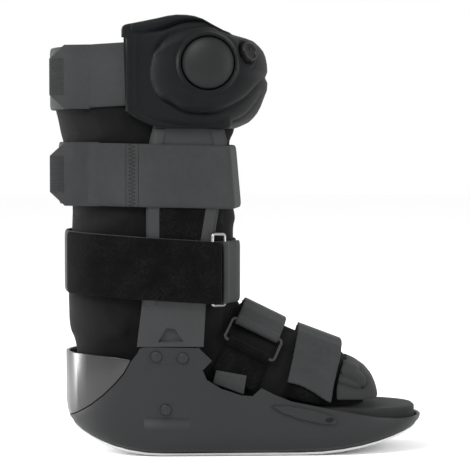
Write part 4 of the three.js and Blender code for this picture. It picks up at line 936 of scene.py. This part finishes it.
def make_dial():
    r = DIAL_RADIUS
    profile = [(0, 0.5), (r, 0.5), (r, 8.0), (r - 0.3, 8.8), (r - 1.0, 9.3), (r - 1.9, 9.3),
               (r - 2.4, 8.7), (r - 2.6, 8.0), (r - 3.2, 7.9), (0, 8.0)]
    knob = turned("dial_knob", profile, DIAL_SEAT, DIAL_AXIS, 48)
    turn = turn_to(DIAL_AXIS).to_4x4()
    turn.translation = Vector(DIAL_SEAT) * MM
    pieces = [knob]
    marks = [(0, 2.0, 0.5, 3.6), (0, -1.9, 2.4, 0.55)]
    marks += [(3.6 * math.cos(a), 3.6 * math.sin(a), 0.5, 0.5) for a in (0.5, 1.2, 1.95, 2.6)]
    for x, y, wide, high in marks:
        bpy.ops.mesh.primitive_cube_add(size=1)
        mark = bpy.context.object
        mark.data.transform(turn @ Matrix.Translation((x * MM, y * MM, 8.1 * MM))
                            @ Matrix.Diagonal((wide * MM, high * MM, 0.9 * MM, 1)))
        modify(mark, "BEVEL", width=0.14 * MM, segments=2)
        pieces.append(mark)
    for k in range(18):
        a = k / 18 * 2 * math.pi
        bpy.ops.mesh.primitive_cylinder_add(vertices=8, radius=0.5 * MM, depth=4.6 * MM)
        grip = bpy.context.object
        grip.data.transform(turn @ Matrix.Translation((r * math.cos(a) * MM, r * math.sin(a) * MM,
                                                       5.8 * MM)))
        pieces.append(grip)
    dial = join("dial_knob", *pieces)
    smooth_shade(dial, 40)
    return dial


# padding and toe cover
# heights that straps and shell hold; the padding swells between them
HELD_BANDS = ((0, 92), (121, 183), (198, 252), (278, 400))
SWELL_MOST = 5.0
RIM_REAR = 322.0
SWELL_FRAMES = 20
SWELL_PRESSURE = 4
UNDER_STRUTS = 0.05
PADDING_VOXEL = 4
RIM_DROP = 0.8


def swollen(piece, pressure, cap):
    """Lets air swell a cloth piece, with a cap on how far each point moves."""
    start = places(piece)
    cloth = piece.modifiers.new("Cloth", "CLOTH")
    cloth.settings.quality = 5
    cloth.settings.use_pressure = True
    cloth.settings.uniform_pressure_force = pressure
    cloth.settings.effector_weights.gravity = 0
    cloth.point_cache.frame_start, cloth.point_cache.frame_end = 1, SWELL_FRAMES
    for frame in range(1, SWELL_FRAMES + 1):
        scene.frame_set(frame)
    pick(piece)
    bpy.ops.object.modifier_apply(modifier=cloth.name)
    scene.frame_set(1)
    moved = places(piece) - start
    far = np.linalg.norm(moved, axis=1)
    place_all(piece, start + moved * (np.minimum(far, cap(start)) / np.maximum(far, 1e-6))[:, None])


def padding_cap(points):
    """How far the padding may swell at each point: nothing under straps, struts and shell."""
    free = np.full(len(points), SWELL_MOST)
    for low, high in HELD_BANDS:
        middle, half = (low + high) / 2, (high - low) / 2
        free *= smoothstep(0, 9, np.abs(points[:, 2] - middle) - half)
    struts = (points[:, 0] > -86) & (points[:, 0] < 0) & (np.abs(points[:, 1]) > 40)
    return np.where(struts, free * UNDER_STRUTS, free)


def make_padding():
    padding = traced("padding", "liner_foot", "liner_heel", "liner_leg")
    modify(padding, "REMESH", mode="VOXEL", voxel_size=PADDING_VOXEL * MM)
    points = places(padding)
    over = np.maximum(points[:, 2] - RIM_REAR, 0) * smoothstep(-70, -96, points[:, 0])
    points[:, 2] -= over * RIM_DROP
    place_all(padding, points)
    modify(padding, "SMOOTH", factor=0.5, iterations=6)
    swollen(padding, SWELL_PRESSURE, padding_cap)
    modify(padding, "SMOOTH", factor=0.5, iterations=4)
    modify(padding, "SUBSURF", levels=1, render_levels=1)
    soft_shade(padding)
    finished(padding, "liner_cloth", "liner_foot", "liner_heel", "liner_leg")


# folds of the toe cover: line, depth, width
HOOD_SCALE = 0.8
HOOD_FOLDS = (
    (from_photo((336, 374), (346, 376.5), (356, 381), (366, 388.5), scale=HOOD_SCALE), 2.6, 1.5),
    (from_photo((363, 371), (368.5, 377), (369.5, 383), (366, 388.5), (356, 389), (345, 385.5),
                (336, 383.5), scale=HOOD_SCALE), 2.8, 1.5),
)
HOOD_VOXEL = 1.3
HOOD_TUCK = 6.5


def make_hood():
    """The toe cover: its rear edge follows the strap, and folds run round its rolled front."""
    hood = remade("toe_hood", HOOD_VOXEL, 12, "toe_cover")
    points = places(hood)
    points[:, 0] -= HOOD_TUCK * smoothstep(104, 87, points[:, 0]) * smoothstep(84, 50, points[:, 2])
    spots = points[:, [0, 2]]
    normals = np.empty(len(points) * 3)
    hood.data.vertices.foreach_get("normal", normals)
    normals = normals.reshape(-1, 3)
    sink = np.zeros(len(points))
    for line, depth, width in HOOD_FOLDS:
        sink += groove(off_line(spots, curved(line)), depth, width)
    outward = (np.abs(points[:, 1]) > 8) & (normals[:, 1] * points[:, 1] > 0)
    points -= normals * np.where(outward, sink, 0)[:, None]
    place_all(hood, points)
    soft_shade(hood)
    finished(hood, "hood_cloth", "toe_cover")


THREAD_SINK = 0.05
RAY_START = -0.2


def laid_on(piece, line, spacing):
    """Places on a piece's near side below a line in X and Z, evenly spaced and a little sunk in."""
    steps = np.concatenate([[0], np.cumsum(np.linalg.norm(np.diff(line, axis=0), axis=1))])
    where = np.arange(spacing / 2, steps[-1], spacing)
    spots = []
    for x, z in zip(np.interp(where, steps, line[:, 0]), np.interp(where, steps, line[:, 1])):
        hit, spot, normal, _ = piece.ray_cast(Vector((x * MM, RAY_START, z * MM)), Vector((0, 1, 0)))
        if hit:
            spots.append(np.array(spot) / MM - np.array(normal) * THREAD_SINK)
    return np.array(spots)


def sewn(name, piece, line, spacing, length, look="thread_nylon", radius=0.3):
    """A row of stitches on a piece's near side along a line in X and Z."""
    spots = laid_on(piece, line, spacing)
    finished(stitched(name, spots, np.gradient(spots, axis=0), length, radius), look)


# straps and their wires
TOP_PATH = wrapped(round_what(279.5, 330.5), 0.3)
MIDDLE_PATH = wrapped(round_what(199.5, 250.5), 0.3)
ANKLE_PATH = wrapped(round_what(121.5, 182.5), 0.3)
SEAM_SCALE = 0.789
# stitch rows of the middle strap: name, column in the photograph, sway
SEAM_ROWS = (("rear", 125.5, 0), ("middle", 131.5, 3.4), ("front", 138.0, 0))
ANKLE_SLOPE = -0.06
FOLD_LOW, FOLD_HIGH = 125.2, 175.6
FOLD_GAP = 1.1
WIRE_SIDES = 12
LOOP_RADIUS = 1.3
LOOP_BEND = 2.6
LOOP_CORNERS = ((-1, 121.6), (-1, 178.4), (1, 177.6), (1, 120.8))


def make_top_strap():
    band = banded("top_strap_band", TOP_PATH, 280.6, 331.6, 0.055)
    finished(band, "strap_cloth")
    finished(pull_tab("top_strap_tab", TOP_PATH, STRAP_OUTER, 303.0), "strap_cloth")
    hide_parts("top_strap")


def make_middle_strap():
    seam = MIDDLE_PATH.nearest(-81.8, -62)

    def layered(along, t, spot):
        doubled = 1.0 * (1 - smoothstep(seam - 1.2, seam + 1.2, along)) * (spot[:, 1] < 0)
        flare = 4.5 * smoothstep(-16, -4, spot[:, 0]) * (1 - t) * (spot[:, 1] < 20)
        return flare + doubled - 0.5 * np.exp(-((along - seam) / 1.6) ** 2) * (spot[:, 1] < 0)

    band = banded("middle_strap_band", MIDDLE_PATH, 199.0, 250.0, -0.02, lift=layered)
    finished(band, "strap_cloth")
    for name, column, sway in SEAM_ROWS:
        line = [(column + sway * (-1) ** k, y) for k, y in enumerate(np.arange(143, 210, 1.9))]
        sewn(f"middle_strap_seam_{name}", band, from_photo(*line, scale=SEAM_SCALE),
             1.9, 1.5, "dark_thread", 0.34)
    finished(pull_tab("middle_strap_tab", MIDDLE_PATH, STRAP_OUTER, 225.5), "strap_cloth")
    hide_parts("middle_strap")


def place_on(path, along, outer, z):
    spot = path.at(np.array([along]))[0] + path.outward(np.array([along]))[0] * outer
    return np.array([spot[0], spot[1], z])


def make_ankle_straps():
    band = banded("ankle_strap_band", ANKLE_PATH, 125.0, 175.8, ANKLE_SLOPE)
    finished(band, "strap_cloth", "ankle_strap")
    rear = ANKLE_PATH.nearest(-134.5, -32)
    split = ANKLE_PATH.nearest(-9.2, -62)
    front = ANKLE_PATH.nearest(0, -13)

    def over_bar(along, t, spot):
        return 2.2 * np.exp(-((np.abs(along - split) - 6.0) / 4.5) ** 2)

    fold = banded("ankle_fold", ANKLE_PATH, FOLD_LOW, FOLD_HIGH, ANKLE_SLOPE, rear, split - FOLD_GAP,
                  outer=5.4, thick=2.4, lift=over_bar)
    finished(fold, "loop_cloth", "ankle_overlap")
    wrap = banded("ankle_front", ANKLE_PATH, FOLD_LOW, FOLD_HIGH, ANKLE_SLOPE, split + FOLD_GAP, front,
                  outer=5.2, lift=over_bar)
    finished(wrap, "strap_cloth", "ankle_wrap")
    corners = [place_on(ANKLE_PATH, split + side * 6.2, 4.0, z) for side, z in LOOP_CORNERS]
    finished(wire_loop("ankle_loop", corners, LOOP_RADIUS, LOOP_BEND), "wire_steel", "ankle_ring")


def wire_loop(name, corners, radius, bend):
    """A closed wire through corners, bent round at each of them."""
    spine = []
    for before, corner, after in zip(np.roll(corners, 1, 0), corners, np.roll(corners, -1, 0)):
        start = corner + (before - corner) / np.linalg.norm(before - corner) * bend
        end = corner + (after - corner) / np.linalg.norm(after - corner) * bend
        for u in np.linspace(0, 1, 7):
            spine.append((1 - u) ** 2 * start + 2 * u * (1 - u) * corner + u ** 2 * end)
    return ring_of_wire(name, np.array(spine), radius)


def ring_of_wire(name, spine, radius):
    """A round wire along a closed line, its section carried round it without a jump."""
    ahead = np.roll(spine, -1, 0) - np.roll(spine, 1, 0)
    ahead /= np.linalg.norm(ahead, axis=1)[:, None]
    side = np.cross(ahead[0], (0, 0, 1) if abs(ahead[0][2]) < 0.8 else (1, 0, 0))
    side /= np.linalg.norm(side)
    sides = []
    for way in ahead:
        side = side - way * (side @ way)
        side /= np.linalg.norm(side)
        sides.append(side)
    carried = sides[-1] - ahead[0] * (sides[-1] @ ahead[0])
    slip = math.atan2(carried @ np.cross(ahead[0], sides[0]), carried @ sides[0])
    points, faces = [], []
    for k, (spot, way, side) in enumerate(zip(spine, ahead, sides)):
        turn = -slip * k / len(ahead)
        side = side * math.cos(turn) + np.cross(way, side) * math.sin(turn)
        other = np.cross(way, side)
        a, b = k * WIRE_SIDES, (k + 1) % len(spine) * WIRE_SIDES
        for j in range(WIRE_SIDES):
            turn, after = 2 * math.pi * j / WIRE_SIDES, (j + 1) % WIRE_SIDES
            points.append(spot + (side * math.cos(turn) + other * math.sin(turn)) * radius)
            faces.append((a + j, a + after, b + after, b + j))
    wire = meshed(name, points, faces)
    soft_shade(wire)
    return wire


def softened(name, voxel, rounds, node):
    """A copy of a CAD node as one soft mesh, its edges worn round, with a UV map in metres."""
    piece = remade(name, voxel, rounds, node)
    bpy.ops.object.mode_set(mode="EDIT")
    bpy.ops.mesh.select_all(action="SELECT")
    bpy.ops.uv.cube_project(cube_size=1.0)
    bpy.ops.object.mode_set(mode="OBJECT")
    soft_shade(piece)
    return piece


PATCH_CORNERS = ((216, 371), (246.7, 376.5), (243.7, 395.6), (213, 384))
PATCH_SEAM = ((218.5, 373.4), (244.3, 378.2), (241.9, 392.6), (215.7, 382.6), (218.5, 373.4))
PATCH_SCALE = 0.796
PATCH_FACES = (-53.4, -52.4)
TOE_DROP = 9.0
TOE_SETBACK = 2.5


def make_pad(name, node):
    pad = softened(name, 2.0, 6, node)
    finished(pad, "loop_cloth", node)


def make_foot_straps():
    band = softened("instep_band", 1.0, 5, "instep_strap")
    finished(band, "strap_cloth", "instep_strap")
    make_pad("instep_under", "instep_pad")
    for side in ("", "_far"):
        tape = softened("instep_tape" + side, 0.9, 3, "instep_webbing" + side)
        finished(tape, "loop_cloth", "instep_webbing" + side)
    label = prism("instep_label", from_photo(*PATCH_CORNERS, scale=PATCH_SCALE), *PATCH_FACES)
    modify(label, "BEVEL", width=0.35 * MM, segments=3, limit_method="ANGLE")
    smooth_shade(label, 40)
    finished(label, "strap_cloth", "instep_patch")
    toe = softened("toe_band", 1.0, 5, "toe_strap")
    points = places(toe)
    points[:, 2] -= TOE_DROP * smoothstep(72, 54, points[:, 2]) * smoothstep(48, 84, points[:, 0])
    points[:, 0] -= TOE_SETBACK * smoothstep(80, 50, points[:, 2]) * smoothstep(60, 88, points[:, 0])
    place_all(toe, points)
    finished(toe, "strap_cloth", "toe_strap")
    make_pad("toe_under", "toe_pad")
    for name, piece, line in (
        ("toe_band_seam_front", toe, ((337.2, 343), (329.5, 398.5))),
        ("toe_band_seam_rear", toe, ((300.5, 327), (292.6, 380))),
        ("instep_band_seam_front", band, ((280.6, 317.5), (275.2, 342))),
        ("instep_band_seam_low", band, ((244.5, 320.5), (277, 343.6))),
    ):
        sewn(name, piece, from_photo(*line), 2.6, 1.8)
    sewn("instep_label_seam", label, from_photo(*PATCH_SEAM, scale=PATCH_SCALE), 2.4, 1.6)
    moulded("instep_wire", "dark_steel", "instep_ring", width=0.2)


# hard parts, with the shell's panels and clips' holes cut and the struts' recesses deepened
PANEL_CORNERS = ((-70.6, 75.3), (-76.5, 31.7), (-35.2, 30.6), (-32.5, 74.1))
PANEL_DEPTHS = (61.3, 70.0)
RECESS_CORNERS = ((-61.0, 92.6), (-41.2, 92.6), (-47.9, 102.6), (-54.6, 102.6))
RECESS_DEPTHS = (58.7, 66.0)
PAD_FOOT = 127.5
HOLE_PLACE = (75.3, 29.4)
HOLE_SIZE = (3.2, 1.9)
HOLE_DEPTHS = (56.5, 66.0)


def carved(piece, name, outline, depths, way):
    cut_away(piece, prism(name, outline, way * depths[0], way * depths[1]))
    smooth_shade(piece)


def make_hard_parts():
    shell = moulded("shell", "shell_plastic", "base_shell", width=1.2)
    for way in (-1, 1):
        carved(shell, "panel_tool", PANEL_CORNERS, PANEL_DEPTHS, way)
    moulded("cup", "cup_plastic", "heel_cup", width=0.8)
    moulded("tread", "tread_rubber", "outsole", width=0.5)
    moulded("footbed", "board_cover", "insole_board", width=1.2)
    hole = [(HOLE_PLACE[0] + HOLE_SIZE[0] * math.cos(a), HOLE_PLACE[1] + HOLE_SIZE[1] * math.sin(a))
            for a in np.arange(20) / 20 * 2 * math.pi]
    for side, way in (("near", -1), ("far", 1)):
        upright = moulded(f"upright_{side}", "upright_plastic", f"strut_{side}", width=0.6)
        carved(upright, "recess_tool", RECESS_CORNERS, RECESS_DEPTHS, way)
        panel = moulded(f"hook_panel_{side}", "loop_cloth", f"hook_pad_{side}", width=0.3)
        points = places(panel)
        points[:, 2] = np.maximum(points[:, 2], PAD_FOOT)
        place_all(panel, points)
        clip = moulded(f"lens_clip_{side}", "shell_plastic", f"toe_clip_{side}", width=0.5)
        carved(clip, "hole_tool", hole, HOLE_DEPTHS, way)
        for number in (1, 2, 3):
            moulded(f"stud_{side}_{number}", "shell_plastic", f"rivet_{side}_{number}", width=0.3)


place_camera()
place_studio()
looks = make_looks()
make_hard_parts()
make_padding()
make_hood()
make_top_strap()
make_middle_strap()
make_ankle_straps()
make_foot_straps()
cover = make_cover()
finished(cover, "cover_cloth", "pump_cover")
finished(make_bulb(), "bulb_rubber", "pump_bulb")
finished(make_dial(), "dial_plastic", "valve_dial", body="dial")

bpy.context.view_layer.update()
